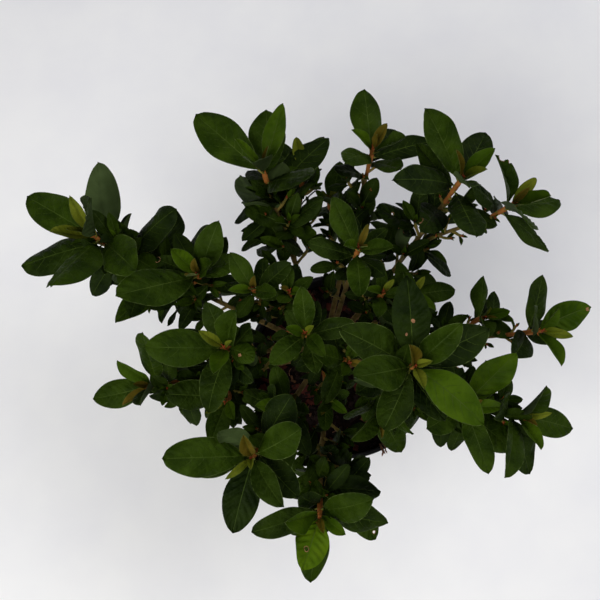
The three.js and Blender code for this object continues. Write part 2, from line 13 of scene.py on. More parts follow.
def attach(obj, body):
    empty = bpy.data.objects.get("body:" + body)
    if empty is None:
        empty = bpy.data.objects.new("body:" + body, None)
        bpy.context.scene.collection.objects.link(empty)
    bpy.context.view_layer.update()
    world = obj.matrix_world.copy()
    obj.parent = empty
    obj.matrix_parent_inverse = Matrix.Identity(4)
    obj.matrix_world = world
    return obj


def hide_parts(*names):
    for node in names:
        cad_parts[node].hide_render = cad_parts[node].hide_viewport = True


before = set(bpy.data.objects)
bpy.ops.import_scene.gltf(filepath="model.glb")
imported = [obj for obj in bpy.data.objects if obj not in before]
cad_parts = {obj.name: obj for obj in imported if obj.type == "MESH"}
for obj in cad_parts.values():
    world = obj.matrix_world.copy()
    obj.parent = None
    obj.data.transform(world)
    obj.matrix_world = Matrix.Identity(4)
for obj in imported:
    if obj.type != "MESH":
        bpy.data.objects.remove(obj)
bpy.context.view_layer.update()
MM = 0.001

# The pot and its compost.
RIM_RADIUS = 70
POT_HEIGHT = 120
FOOT_RADIUS = 50
WALL = 1.6
FLOOR_THICKNESS = 3
COLLAR_HEIGHT = 20
COLLAR_STEP = 2
COLLAR_TAPER = 1
LIP_HEIGHT = 3
LIP_WIDTH = 1.4
DRAIN_HOLES = 8
DRAIN_RADIUS = 4
DRAIN_HEIGHT = 7
SOIL_LEVEL = 108
SOIL_FLAT_RADIUS = 36
SOIL_DIP = 2.5
GAP = 0.3

# The stem, the limbs and the twigs.
STEM_FOOT = np.array([-14, 10, SOIL_LEVEL + GAP])
STEM_LEAN = np.array([5, -4, 44])
STEM_RADII = [8.6, 6.4, 5.5, 5.1, 4.9, 4.7, 4.4, 4.1, 3]
STEM_BUTTRESSES = 5
BUTTRESS_DEPTH = 0.22
BOUGH_RADIUS = 2.1
SIDE_RADIUS = 1.35
TIP_RADIUS = 1.25
PATH_STEPS = 24
BARE_FOOT = 3
BARE_SIDE = 0.12
TWIG_LENGTH = 17
TWIG_RADII = (1.1, 0.9)
TWIG_BARE = 2
TWIG_LEAVES = 6
TWIG_LEAF_SHARE = 0.55
TWIG_TILT = 52
TWIG_FIRST = 0.3
TWIG_LAST = 0.8

# The spiral of leaves, how close they sit, and how they open from bud to full leaf.
SPIRAL = 137.5
YOUNG = 4
CROWDED = 9
TIP_DEPTH = 1.2
CROWD_SPACING = 0.55
CROWD_GROWTH = 0.09
NODE_SPACING = 8.5
YOUNG_SIZES = (0.3, 0.42, 0.56, 0.76)
YOUNG_TILTS = (16, 26, 38, 50)
FULL_TILTS = (58, 66, 72, 76, 79)
OLD_SHRINK = 0.02
UPWARD = 0.2
TURN_RANGE = 12
TILT_RANGE = 8
SIZE_RANGE = 0.09

# A leaf's shape, as shares of its length.
STALK = 0.09
YOUNG_WIDTH = 0.34
YOUNG_WIDENING = 0.04
FULL_WIDTH = 0.54
WIDEST = 1.1
BLUNTNESS = 0.72
BEND = 0.1
FACE_UP = 0.7
FACE_IN = 0.6

# The room that a leaf needs.
TRIES = ((0, 1), (-9, 1), (9, 1), (0, 0.84), (-16, 0.84), (0, 0.7), (-20, 0.7), (0, 0.56))
TEST_SHARES = (0.25, 0.5, 0.75)
PANEL_SHARES = (0.2, 0.5, 0.8)
NEAR_SHARE = 0.6
SPACE_MARGIN = 2.2
TWIG_CLEARANCE = 1.6
LIMB_CLEARANCE = 3.5
RIM_CLEARANCE = 4

# The repeatable random numbers.
RANDOM_START = 9973
RANDOM_STEP = 7919
RANDOM_FACTOR = 48271
RANDOM_PERIOD = 2147483647
LEAF_SEED = 101
FINE_SEED = 301

# The finer twigs that only the looks have: one every few millimetres along each leafy shoot,
# longer near its foot. Where the crown is open to the light they stay short and small.
FINE_SPACING = 5.2
FINE_LENGTHS = (19, 10)
FINE_LEAVES = 7
OPEN_LENGTH_SHARE = 0.6
OPEN_LEAF_SHARE = 0.5
OPEN_LEAVES = 3
OPEN_FROM = {("back", 0): 0.5, ("back_right", 0): 0.3, ("back_right", 1): 0.1,
             ("right", 0): 0.3, ("right", 1): 0}
FINE_LEAF_SIZE = 9
FINE_LEAF_SHARE = 0.36
FINE_TILT = 55
FINE_TURN = 68
FINE_TIP_BARE = 12

# Every bough with its shoots, as the solids have them: the socket's height above the compost and
# its azimuth, the rise, the bare share, and each shoot's tip as azimuth, reach and height.
BOUGHS = [
    dict(name="left", socket=(13, 160), rise=38, bare=0.4, shoots=[
        dict(tip=(158, 168, 97), lean=38, leaves=17, leaf=64, turn=130, fallen=(6, 10)),
        dict(at=0.56, tip=(157, 92, 97), lean=18, leaves=9, leaf=54, turn=215, hand=-1),
    ]),
    dict(name="back_left", socket=(23, 112), rise=48, bare=0.42, shoots=[
        dict(tip=(112, 110, 117), lean=34, leaves=15, leaf=58, turn=137, hand=-1, fallen=(5, 6, 9)),
        dict(at=0.5, tip=(98, 113, 95), lean=36, leaves=10, leaf=42, turn=50, hand=-1, twigs=1),
    ]),
    dict(name="back", socket=(14, 80), rise=42, bare=0.45, shoots=[
        dict(tip=(75, 125, 107), lean=32, leaves=11, leaf=40, turn=105, twigs=1, fallen=(7,)),
        dict(at=0.56, tip=(88, 97, 72), lean=30, leaves=9, leaf=32, turn=60),
    ]),
    dict(name="back_right", socket=(20, 42), rise=44, bare=0.42, shoots=[
        dict(tip=(46, 124, 132), lean=24, leaves=15, leaf=50, turn=122, hand=-1, twigs=2,
             fallen=(5, 10, 13)),
        dict(at=0.6, tip=(33, 146, 112), lean=52, leaves=11, leaf=46, turn=35, hand=-1, fallen=(6, 10)),
    ]),
    dict(name="right", socket=(12, 2), rise=36, bare=0.42, shoots=[
        dict(tip=(359, 140, 97), lean=50, leaves=10, leaf=39, turn=30, twigs=1, fallen=(6,)),
        dict(at=0.6, tip=(5, 106, 85), lean=40, leaves=8, leaf=31, turn=105, hand=-1, fallen=(6,)),
    ]),
    dict(name="front_right", socket=(21, 332), rise=42, bare=0.44, shoots=[
        dict(tip=(329, 103, 107), lean=22, leaves=11, leaf=42, turn=275, twigs=1, fallen=(9,)),
        dict(at=0.6, tip=(335, 137, 92), lean=50, leaves=12, leaf=44, turn=335, hand=-1, fallen=(6, 9, 10)),
    ]),
    dict(name="front", socket=(13, 272), rise=34, bare=0.4, shoots=[
        dict(tip=(268, 120, 77), lean=56, leaves=14, leaf=43, turn=275, twigs=1),
        dict(at=0.66, tip=(278, 112, 67), lean=45, leaves=9, leaf=34, turn=300, fallen=(7,)),
    ]),
    dict(name="front_left", socket=(23, 240), rise=40, bare=0.42, shoots=[
        dict(tip=(241, 96, 107), lean=22, leaves=13, leaf=48, turn=170, hand=-1, twigs=1),
        dict(at=0.5, tip=(244, 56, 90), lean=10, leaves=11, leaf=46, turn=110, twigs=1),
    ]),
    dict(name="left_front", socket=(18, 205), rise=34, bare=0.42, shoots=[
        dict(tip=(196, 123, 67), lean=52, leaves=6, leaf=46, turn=205, hand=-1, twigs=1),
        dict(at=0.55, tip=(214, 80, 72), lean=34, leaves=8, leaf=38, turn=250),
    ]),
    dict(name="middle_left", socket=(30, 190), rise=52, bare=0.42, shoots=[
        dict(tip=(194, 66, 112), lean=12, leaves=14, leaf=45, turn=195, twigs=1),
    ]),
    dict(name="middle_right", socket=(36, 320), rise=50, bare=0.45, shoots=[
        dict(tip=(325, 60, 154), lean=6, leaves=15, leaf=48, turn=190),
        dict(at=0.5, tip=(302, 66, 90), lean=40, leaves=9, leaf=35, turn=285, twigs=1),
    ]),
    dict(name="middle_back", socket=(32, 75), rise=54, bare=0.42, shoots=[
        dict(tip=(66, 50, 122), lean=14, leaves=12, leaf=35, turn=130, twigs=1),
    ]),
    dict(name="middle_back_right", socket=(29, 5), rise=52, bare=0.45, shoots=[
        dict(tip=(30, 43, 104), lean=12, leaves=10, leaf=27, turn=110, twigs=1),
        dict(at=0.5, tip=(21, 61, 98), lean=20, leaves=10, leaf=30, turn=20, hand=-1),
    ]),
    dict(name="middle_back_left", socket=(37, 140), rise=50, bare=0.45, shoots=[
        dict(tip=(155, 52, 110), lean=14, leaves=11, leaf=28, turn=110, twigs=1),
        dict(at=0.5, tip=(138, 32, 107), lean=10, leaves=9, leaf=27, turn=250),
    ]),
    dict(name="middle_front", socket=(41, 262), rise=86, bare=0.4, shoots=[
        dict(tip=(213, 16, 120), lean=6, leaves=13, leaf=29, turn=90, twigs=1),
        dict(at=0.45, tip=(300, 28, 104), lean=14, leaves=11, leaf=30, turn=300, hand=-1, twigs=1),
        dict(at=0.42, tip=(272, 46, 86), lean=34, leaves=11, leaf=29, turn=250, twigs=1),
    ]),
]

UP = np.array([0.0, 0.0, 1.0])
RIGHT = np.array([1.0, 0.0, 0.0])
LONG_SHOOTS = ("main", "side")


def unit(vector):
    return vector / np.linalg.norm(vector)


def numbers(seed):
    """A repeatable stream of numbers from 0 to 1."""
    state = RANDOM_START + seed * RANDOM_STEP
    while True:
        state = state * RANDOM_FACTOR % RANDOM_PERIOD
        yield state / RANDOM_PERIOD


def spread(random, size):
    return (2 * next(random) - 1) * size


def heading(azimuth):
    """The level direction at an azimuth in degrees."""
    a = math.radians(azimuth)
    return np.array([math.cos(a), math.sin(a), 0.0])


def place(azimuth, reach, height):
    """A point round the stem's foot."""
    return STEM_FOOT + heading(azimuth) * reach + UP * height


def leaning(azimuth, lean):
    """The direction that leans away from upright towards an azimuth."""
    t = math.radians(lean)
    return heading(azimuth) * math.sin(t) + UP * math.cos(t)


class Path:
    """A centreline as points, with the distance run at each."""

    def __init__(self, start, first_direction, tip, last_direction):
        handle = np.linalg.norm(tip - start) / 3
        t = np.linspace(0, 1, PATH_STEPS + 1)[:, None]
        near = start + first_direction * handle
        far = tip - last_direction * handle
        self.points = ((1 - t) ** 3 * start + 3 * (1 - t) ** 2 * t * near
                       + 3 * (1 - t) * t ** 2 * far + t ** 3 * tip)
        steps = np.linalg.norm(np.diff(self.points, axis=0), axis=1)
        self.runs = np.concatenate([[0], np.cumsum(steps)])
        self.length = self.runs[-1]

    def at(self, distance):
        """The point and the direction at a distance along the path."""
        d = min(max(distance, 0), self.length)
        i = min(max(int(np.searchsorted(self.runs, d)), 1), PATH_STEPS)
        share = (d - self.runs[i - 1]) / (self.runs[i] - self.runs[i - 1])
        step = self.points[i] - self.points[i - 1]
        return self.points[i - 1] + step * share, unit(step)


def across(axis):
    """Two directions across an axis: one as near +X as it can be, and one towards +Y."""
    side = unit(RIGHT - axis * (RIGHT @ axis))
    return side, np.cross(axis, side)


def tilted(axis, azimuth, tilt):
    """The direction tilted away from an axis towards an azimuth round it."""
    side, back = across(axis)
    a = math.radians(azimuth)
    t = math.radians(tilt)
    return axis * math.cos(t) + (side * math.cos(a) + back * math.sin(a)) * math.sin(t)


def main_and_side_shoots(bough):
    socket_height, socket_azimuth = bough["socket"]
    start = STEM_FOOT + STEM_LEAN * (socket_height / STEM_LEAN[2])
    shoots = []
    for shoot in bough["shoots"]:
        azimuth, reach, height = shoot["tip"]
        tip = place(azimuth, reach, height)
        is_side = bool(shoots)
        foot, direction = start, leaning(socket_azimuth, 90 - bough["rise"])
        if is_side:
            main = shoots[0].path
            foot, direction = main.at(shoot["at"] * main.length)
            direction = unit(direction + unit(tip - foot))
        path = Path(foot, direction, tip, leaning(azimuth, shoot["lean"]))
        bare = bough["bare"] * path.length
        shoots.append(SimpleNamespace(
            path=path, start=0 if is_side else bare, kind="side" if is_side else "main",
            foliage_start=BARE_SIDE * path.length if is_side else bare + BARE_FOOT,
            radii=(SIDE_RADIUS if is_side else BOUGH_RADIUS, TIP_RADIUS), leaves=shoot["leaves"],
            leaf=shoot["leaf"], turn=shoot["turn"], hand=shoot.get("hand", 1),
            twigs=shoot.get("twigs", 0), fallen=shoot.get("fallen", ())))
    return shoots


def short_twig(shoot, foot_distance, turn, tilt, length, kind, leaves, leaf):
    """A short straight shoot of small leaves on a longer shoot."""
    foot, axis = shoot.path.at(foot_distance)
    direction = unit(tilted(axis, turn, tilt) + UP * UPWARD)
    path = Path(foot, direction, foot + direction * length, unit(direction + UP))
    return SimpleNamespace(
        path=path, start=0, kind=kind, foliage_start=TWIG_BARE, radii=TWIG_RADII, leaves=leaves,
        leaf=leaf, turn=turn, hand=shoot.hand, twigs=0, fallen=())


def shoots_of(bough, seed):
    random = numbers(seed)
    shoots = main_and_side_shoots(bough)
    twigs = []
    for shoot in shoots:
        for number in range(shoot.twigs):
            share = TWIG_FIRST + (TWIG_LAST - TWIG_FIRST) * (number + 0.5) / shoot.twigs
            distance = shoot.foliage_start + share * (shoot.path.length - shoot.foliage_start)
            turn = shoot.turn + SPIRAL * (number + 0.5) + spread(random, TURN_RANGE)
            twigs.append(short_twig(shoot, distance, turn, TWIG_TILT, TWIG_LENGTH, "twig",
                                    TWIG_LEAVES, shoot.leaf * TWIG_LEAF_SHARE))
    return shoots + twigs


def leaf_distance(number):
    """How far down from a tip a leaf sits: crowded at first, then evenly spaced."""
    crowd = min(number, CROWDED)
    spaced = max(0, number - CROWDED)
    return TIP_DEPTH + CROWD_SPACING * crowd + CROWD_GROWTH * crowd ** 2 + NODE_SPACING * spaced


def leaf_at(shoot, number, turn_change, tilt_change, size_change):
    """The leaf of that number on a shoot, counted from the youngest at the tip."""
    base, axis = shoot.path.at(shoot.path.length - leaf_distance(number))
    young = number < YOUNG
    age = number - YOUNG
    ruled = YOUNG_TILTS[number] if young else FULL_TILTS[min(age, len(FULL_TILTS) - 1)]
    tilt = ruled + tilt_change
    turn = shoot.turn + shoot.hand * SPIRAL * age + turn_change
    direction = tilted(axis, turn, tilt)
    direction[2] += UPWARD * math.sin(math.radians(tilt))
    direction = unit(direction)
    face = UP * FACE_UP + axis * FACE_IN
    normal = unit(face - direction * (face @ direction))
    size = YOUNG_SIZES[number] if young else 1 - OLD_SHRINK * age
    return SimpleNamespace(
        base=base, direction=direction, normal=normal, side=np.cross(direction, normal),
        length=shoot.leaf * size * size_change,
        width=YOUNG_WIDTH + YOUNG_WIDENING * number if young else FULL_WIDTH,
        young=young, number=number, kind=shoot.kind, label=None)


def blade_points(leaf, shares, edges):
    """Points of the rule's plain blade, from base to tip and from -1 at one margin to 1."""
    share = np.asarray(shares, float)[:, None]
    edge = np.asarray(edges, float)[:, None]
    half = 0.5 * leaf.width * leaf.length * np.sin(np.pi * share ** WIDEST).clip(0) ** BLUNTNESS
    return (leaf.base + leaf.direction * leaf.length * (STALK + share)
            - leaf.normal * BEND * leaf.length * share ** 2 + leaf.side * edge * half)


def segments_between(path, start, end):
    """The steps of a path between two distances along it."""
    kept = (path.runs[1:] > start) & (path.runs[:-1] < end)
    return np.stack([path.points[:-1][kept], path.points[1:][kept]], axis=1)


def distances(points, segments):
    """How far each point is from each segment."""
    starts = segments[:, 0]
    steps = segments[:, 1] - starts
    offsets = points[:, None] - starts
    along = np.einsum("psk,sk->ps", offsets, steps) / np.einsum("sk,sk->s", steps, steps)
    return np.linalg.norm(offsets - along.clip(0, 1)[..., None] * steps, axis=2)


class Space:
    """Every limb and shoot of the plant, to tell whose room a point is in."""

    def __init__(self, masses):
        self.limbs = np.concatenate([
            segments_between(mass.shoots[0].path, 0, mass.shoots[0].start) for mass in masses])
        groups = [np.concatenate([segments_between(shoot.path, shoot.start, shoot.path.length)
                                  for shoot in mass.shoots]) for mass in masses]
        self.firsts = np.cumsum([0] + [len(group) for group in groups[:-1]])
        self.shoots = np.concatenate(groups)

    def is_free(self, points, own, clearance):
        """Whether all points are off pot and limbs, and nearer to their own mass than to others."""
        over_pot = np.hypot(points[:, 0], points[:, 1]) <= RIM_RADIUS + RIM_CLEARANCE
        if (over_pot & (points[:, 2] < POT_HEIGHT + RIM_CLEARANCE)).any():
            return False
        by_mass = np.minimum.reduceat(distances(points, self.shoots), self.firsts, axis=1)
        mine = by_mass[:, own]
        others = np.delete(by_mass, own, axis=1).min(axis=1)
        if (mine <= clearance).any() or (others <= mine + SPACE_MARGIN).any():
            return False
        return bool((distances(points, self.limbs) > LIMB_CLEARANCE).all())


# Where a blade is tested for room, and the corners of its panels, with its tip three times over.
TEST_GRID = [(1, 0)] + [(share, edge) for share in TEST_SHARES for edge in (-1, 0, 1)]
PANEL_GRID = [(share, edge) for share in PANEL_SHARES for edge in (-1, 0, 1)] + [(1, 0)] * 3
PARALLEL = 1e-9


def add_panels(leaf):
    """The blade as triangles and segments, to find leaves that pass through each other."""
    rows = blade_points(leaf, *zip(*PANEL_GRID)).reshape(-1, 3, 3)
    segments, triangles = [], []
    for low, high in zip(rows[:-1], rows[1:]):
        segments += [(low[i], high[i]) for i in range(3)]
        segments += [(low[i], low[i + 1]) for i in range(2)]
        for i in range(2):
            triangles += [(low[i], low[i + 1], high[i]), (low[i + 1], high[i + 1], high[i])]
    leaf.segments = np.array(segments)
    leaf.triangles = np.array(triangles)
    leaf.middle = blade_points(leaf, [0.5], [0])[0]


def any_cut(segments, triangles):
    """Whether any segment passes through any triangle."""
    start = segments[:, None, 0]
    step = segments[:, None, 1] - start
    corner, first, second = (triangles[None, :, k] for k in range(3))
    edge_a, edge_b = first - corner, second - corner
    p = np.cross(step, edge_b)
    scale = (edge_a * p).sum(-1)
    flat = np.abs(scale) < PARALLEL
    scale = np.where(flat, 1, scale)
    offset = start - corner
    u = (offset * p).sum(-1) / scale
    q = np.cross(offset, edge_a)
    v = (step * q).sum(-1) / scale
    t = (edge_b * q).sum(-1) / scale
    return bool((~flat & (u >= 0) & (v >= 0) & (u + v <= 1) & (t >= 0) & (t <= 1)).any())


def crosses_any(leaf, others):
    near = [other for other in others
            if np.linalg.norm(leaf.middle - other.middle) < NEAR_SHARE * (leaf.length + other.length)]
    if not near:
        return False
    return (any_cut(leaf.segments, np.concatenate([other.triangles for other in near]))
            or any_cut(np.concatenate([other.segments for other in near]), leaf.triangles))


def fitted_leaf(shoot, number, random, own, leaves, space):
    """The leaf of a number, tilted or made smaller until it fits, or None where it can't."""
    turn_change = spread(random, TURN_RANGE)
    tilt_change = spread(random, TILT_RANGE)
    size_change = 1 + spread(random, SIZE_RANGE)
    if number in shoot.fallen or shoot.path.length - leaf_distance(number) < shoot.foliage_start:
        return None
    for tilt, size in TRIES:
        leaf = leaf_at(shoot, number, turn_change, tilt_change + tilt, size_change * size)
        if not space.is_free(blade_points(leaf, *zip(*TEST_GRID)), own, TWIG_CLEARANCE):
            continue
        add_panels(leaf)
        if not crosses_any(leaf, leaves):
            return leaf
    return None


def fine_twigs(shoot, open_from):
    """The finer twigs along the leafy part of a shoot, which is open beyond a share of it."""
    leafy = shoot.path.length - shoot.foliage_start - FINE_TIP_BARE
    count = int(leafy / FINE_SPACING)
    twigs = []
    for number in range(count):
        distance = shoot.foliage_start + FINE_SPACING * (number + 0.5)
        turn = shoot.turn + FINE_TURN + SPIRAL * number
        share = (number + 0.5) / count
        length = FINE_LENGTHS[0] + (FINE_LENGTHS[1] - FINE_LENGTHS[0]) * share
        leaves, leaf = FINE_LEAVES, FINE_LEAF_SIZE + shoot.leaf * FINE_LEAF_SHARE
        if share > open_from:
            length *= OPEN_LENGTH_SHARE
            leaves, leaf = OPEN_LEAVES, leaf * OPEN_LEAF_SHARE
        twigs.append(short_twig(shoot, distance, turn, FINE_TILT, length, "fine", leaves, leaf))
    return twigs


def grow_plant():
    """Every mass with its shoots, its leaves and its finer twigs."""
    masses = [SimpleNamespace(name=bough["name"], shoots=shoots_of(bough, index + 1), leaves=[])
              for index, bough in enumerate(BOUGHS)]
    space = Space(masses)
    for index, mass in enumerate(masses):
        random = numbers(LEAF_SEED + index)
        for shoot_number, shoot in enumerate(mass.shoots):
            for number in range(shoot.leaves):
                leaf = fitted_leaf(shoot, number, random, index, mass.leaves, space)
                if leaf:
                    leaf.label = (mass.name, shoot_number, number)
                    mass.leaves.append(leaf)
    for index, mass in enumerate(masses):
        random = numbers(FINE_SEED + index)
        long_shoots = [shoot for shoot in mass.shoots if shoot.kind in LONG_SHOOTS]
        open_from = [OPEN_FROM.get((mass.name, number), 1) for number in range(len(long_shoots))]
        mass.fine = []
        for twig in sum(map(fine_twigs, long_shoots, open_from), []):
            if not space.is_free(twig.path.points[-1:], index, TWIG_CLEARANCE):
                continue
            grown = []
            for number in range(twig.leaves):
                leaf = fitted_leaf(twig, number, random, index, mass.leaves + grown, space)
                if leaf:
                    grown.append(leaf)
            if len(grown) > 1:
                mass.fine.append(twig)
                mass.leaves += grown
    return masses


# Meshes, each kind joined into one piece.


class Batch:
    """Points and faces of many small shapes, joined into one piece."""

    def __init__(self):
        self.points = []
        self.faces = []
        self.count = 0

    def add(self, points, *faces):
        """Adds a shape: its points, and arrays of faces with three or four corners each."""
        points = np.asarray(points, float).reshape(-1, 3)
        self.points.append(points)
        self.faces += [face.reshape(-1, face.shape[-1]) + self.count for face in faces]
        self.count += len(points)

    def piece(self, name, material, slot, *nodes, smooth=True):
        """The joined mesh as a piece of the plant, which may stand for some of its solids."""
        mesh = bpy.data.meshes.new(name)
        mesh.vertices.add(self.count)
        mesh.vertices.foreach_set("co", (np.concatenate(self.points) * MM).ravel())
        sizes = np.concatenate([np.full(len(face), face.shape[1]) for face in self.faces])
        mesh.loops.add(int(sizes.sum()))
        mesh.loops.foreach_set("vertex_index", np.concatenate([f.ravel() for f in self.faces]))
        mesh.polygons.add(len(sizes))
        mesh.polygons.foreach_set("loop_start", np.concatenate([[0], np.cumsum(sizes)[:-1]]))
        mesh.polygons.foreach_set("use_smooth", np.full(len(sizes), smooth))
        mesh.update(calc_edges=True)
        mesh.validate()
        mesh.materials.append(material)
        piece = bpy.data.objects.new(name, mesh)
        bpy.context.scene.collection.objects.link(piece)
        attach(piece, "root")
        if nodes:
            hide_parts(*nodes)
        return piece


def grid_faces(rows, columns, closed=False):
    """The quads of a grid of points, whose last column may join its first."""
    row = np.arange(rows - 1)[:, None]
    column = np.arange(columns if closed else columns - 1)[None, :]
    after = (column + 1) % columns
    corners = [row * columns + column, row * columns + after,
               (row + 1) * columns + after, (row + 1) * columns + column]
    return np.stack([np.broadcast_to(c, (rows - 1, column.size)) for c in corners], -1).reshape(-1, 4)


def halved(quads):
    """Each quad as two triangles, cut along the same diagonal whichever way it faces."""
    return quads[:, [0, 1, 2, 0, 2, 3]].reshape(-1, 3)


def repeated(faces, copies, size):
    """The same faces for many copies of a shape that has size points."""
    return (faces[None] + np.arange(copies)[:, None, None] * size).reshape(-1, faces.shape[-1])


def add_tube(batch, centres, rings, closed_start=True):
    """Adds a tube: rings are the points round each centre, and its ends are closed by fans."""
    rows, sides = rings.shape[:2]
    points = np.concatenate([rings.reshape(-1, 3), centres[:1], centres[-1:]])
    first, last = rows * sides, rows * sides + 1
    near = np.arange(sides)
    after = (near + 1) % sides
    shift = (rows - 1) * sides
    caps = [np.stack([near + shift, after + shift, np.full(sides, last)], -1)]
    if closed_start:
        caps.append(np.stack([after, near, np.full(sides, first)], -1))
    batch.add(points, grid_faces(rows, sides, closed=True), np.concatenate(caps))


def angles_round(count):
    """Evenly spaced angles all the way round."""
    return np.arange(count) * 2 * np.pi / count


def rings_along(centres, radii, sides):
    """Round sections across a centreline. radii has one value for each centre, or a row of them."""
    directions = np.gradient(centres, axis=0)
    directions /= np.linalg.norm(directions, axis=1)[:, None]
    side = across(directions[0])[0]
    angles = angles_round(sides)
    radii = np.broadcast_to(np.asarray(radii).reshape(len(centres), -1), (len(centres), sides))
    rings = []
    for centre, direction, radius in zip(centres, directions, radii):
        side = unit(side - direction * (side @ direction))
        back = np.cross(direction, side)
        rings.append(centre + radius[:, None] * (np.cos(angles)[:, None] * side
                                                 + np.sin(angles)[:, None] * back))
    return np.array(rings)


def add_round(batch, line, radii, sides, closed_start=True):
    """Adds a round tube along a line of points."""
    add_tube(batch, line, rings_along(line, radii, sides), closed_start)


# Wood: the stem, the boughs and the twigs, with the relief of their bark.

BARK_SIDES = 14
TWIG_SIDES = 8
BARK_SPACING = 1.6
FEWEST_RINGS = 3
YOUNG_WOOD = 24
OLD_WOOD_SHARE = 0.45
NODE_SWELL = 0.28
NODE_LENGTH = 1.1
COLLAR_SWELL = 0.7
COLLAR_LENGTH = 4
BOUGH_STRETCH = (1, 1, 0.35)
BOUGH_GRAIN = 1.3
BOUGH_RELIEF = 0.1
STEM_RINGS = 56
STEM_SEGMENTS = 40
STEM_STRETCH = (1, 1, 0.25)
FURROW_SIZE = 1.6
FURROW_WAVE = 0.5
FURROW_CUT = 0.3
PLATE_SIZE = 0.8
PLATE_WAVE = 0.2


def wood_points(path, start, end):
    """Distances along a limb and the points of its centreline there."""
    count = max(FEWEST_RINGS, int(round((end - start) / BARK_SPACING)) + 1)
    distance = np.linspace(start, end, count)
    centres = np.stack([np.interp(distance, path.runs, path.points[:, k]) for k in range(3)], -1)
    return distance, centres


def bark_noise(rings, size, stretch=(1, 1, 1)):
    """A smooth random value from about -1 to 1 at each point of some rings."""
    points = rings.reshape(-1, 3) * stretch
    values = [noise.noise(Vector(point / size)) for point in points]
    return np.array(values).reshape(rings.shape[:-1])


def swelling(distance, centre, length):
    """A smooth bump of height 1 round a place along a limb."""
    return np.exp(-((distance - centre) / length) ** 2)


def add_wood(batch, shoot, start, end, sides, joins_stem=False):
    """A limb between two distances, with ridges along it and a swelling at every grown leaf."""
    path = shoot.path
    distance, centres = wood_points(path, start, end)
    radius = np.interp(distance, [0, path.length], shoot.radii)
    for number in range(YOUNG, shoot.leaves):
        node = path.length - leaf_distance(number)
        radius = radius * (1 + NODE_SWELL * swelling(distance, node, NODE_LENGTH))
    if joins_stem:
        radius = radius * (1 + COLLAR_SWELL * swelling(distance, COLLAR_LENGTH, COLLAR_LENGTH))
    rings = rings_along(centres, radius, sides)
    relief = bark_noise(rings, BOUGH_GRAIN, BOUGH_STRETCH)[..., None]
    add_tube(batch, centres, centres[:, None] + (rings - centres[:, None]) * (1 + BOUGH_RELIEF * relief))


def add_stem(batch):
    """The stem: its buttressed foot, its taper, and the furrows and plates of its bark."""
    share = np.linspace(0, 1, STEM_RINGS)
    angles = angles_round(STEM_SEGMENTS)
    radius = np.interp(share, np.linspace(0, 1, len(STEM_RADII)), STEM_RADII)[:, None]
    flare = BUTTRESS_DEPTH * (1 - share[:, None]) ** 3 * np.cos(STEM_BUTTRESSES * angles)
    round_ring = np.stack([np.cos(angles), -np.sin(angles), np.zeros(STEM_SEGMENTS)], -1)
    centres = STEM_FOOT + STEM_LEAN * share[:, None]
    rings = centres[:, None] + (radius * (1 + flare))[..., None] * round_ring
    furrows = bark_noise(rings, FURROW_SIZE, STEM_STRETCH)
    plates = bark_noise(rings, PLATE_SIZE)
    relief = FURROW_WAVE * furrows - FURROW_CUT * np.abs(furrows) + PLATE_WAVE * plates
    add_tube(batch, centres, rings + relief[..., None] * round_ring)


# Leaves: their grids of points, their outline, what differs from leaf to leaf, and their veins.
# A range has its two ends. A bend, twist, sweep or vein's place has its middle and its spread.

LOOK_SEED = 7
LARGE_GRID = (24, 11)
SMALL_GRID = (12, 7)
MARKED_GRID = (48, 25)
ROWS_EVEN = 0.45
ROWS_CROWDED = 0.55
COLUMN_CROWDING = 1.3
POINT_START = 0.955
BLUNT_FALL = 0.17
TIP_TAPERS = (-0.05, 0.22)
GROWN_WIDTHS = (0.82, 1.0)
FLUSH_WIDTHS = (0.2, 0.4)
FOOT_SHARE = 0.1
FOOT_SLIMMING = 0.1
NARROWEST = 0.12
STALK_HALF = 0.45
YOUNGEST_LENGTH = 1.12
FLUSH_LENGTH = 0.82
YOUNG_BENDS = (0.02, 0.08)
GROWN_BENDS = (0.06, 0.08)
TWISTS = (0, 0.27)
TWIST_START = 0.25
SWEEPS = (0, 0.045)
YOUNG_FOLDS = (0.5, 1.0)
GROWN_FOLDS = (0.05, 0.5)
YOUNG_DROOPS = (0.1, 0.3)
GROWN_DROOPS = (0.1, 0.6)
WAVES = (0.04, 0.2)
WAVE_TURN = 2.8 * np.pi
TURNED_OVER = 0.035
ROLLS = (2.5, 3.7)
SHEET = 0.008
KEEL_DEPTH = 0.35
KEEL_WIDTH = 0.08
GROOVE_DEPTH = 0.006
QUILTING = 0.018
MIDRIB_POINTS = 16
MIDRIB_END = 0.95
MIDRIB_WIDTHS = (0.009, 0.0018)
VEIN_PAIRS = 5
VEIN_POINTS = 8
VEIN_STARTS = (0.13, 0.02)
VEIN_STEP = 0.135
VEIN_RISES = (0.2, 0.035)
VEIN_CURVE = 1.3
VEIN_FOOT = 0.02
VEIN_REACH = 0.8
VEIN_LIFT = 0.1
VEIN_WIDTHS = (0.0036, 0.0012)
VEIN_JITTER = 0.014
JITTER_TURNS = (2.6, 1.7, 9)
RIM_WIDTH = 0.005
RIM_EDGE = 0.98

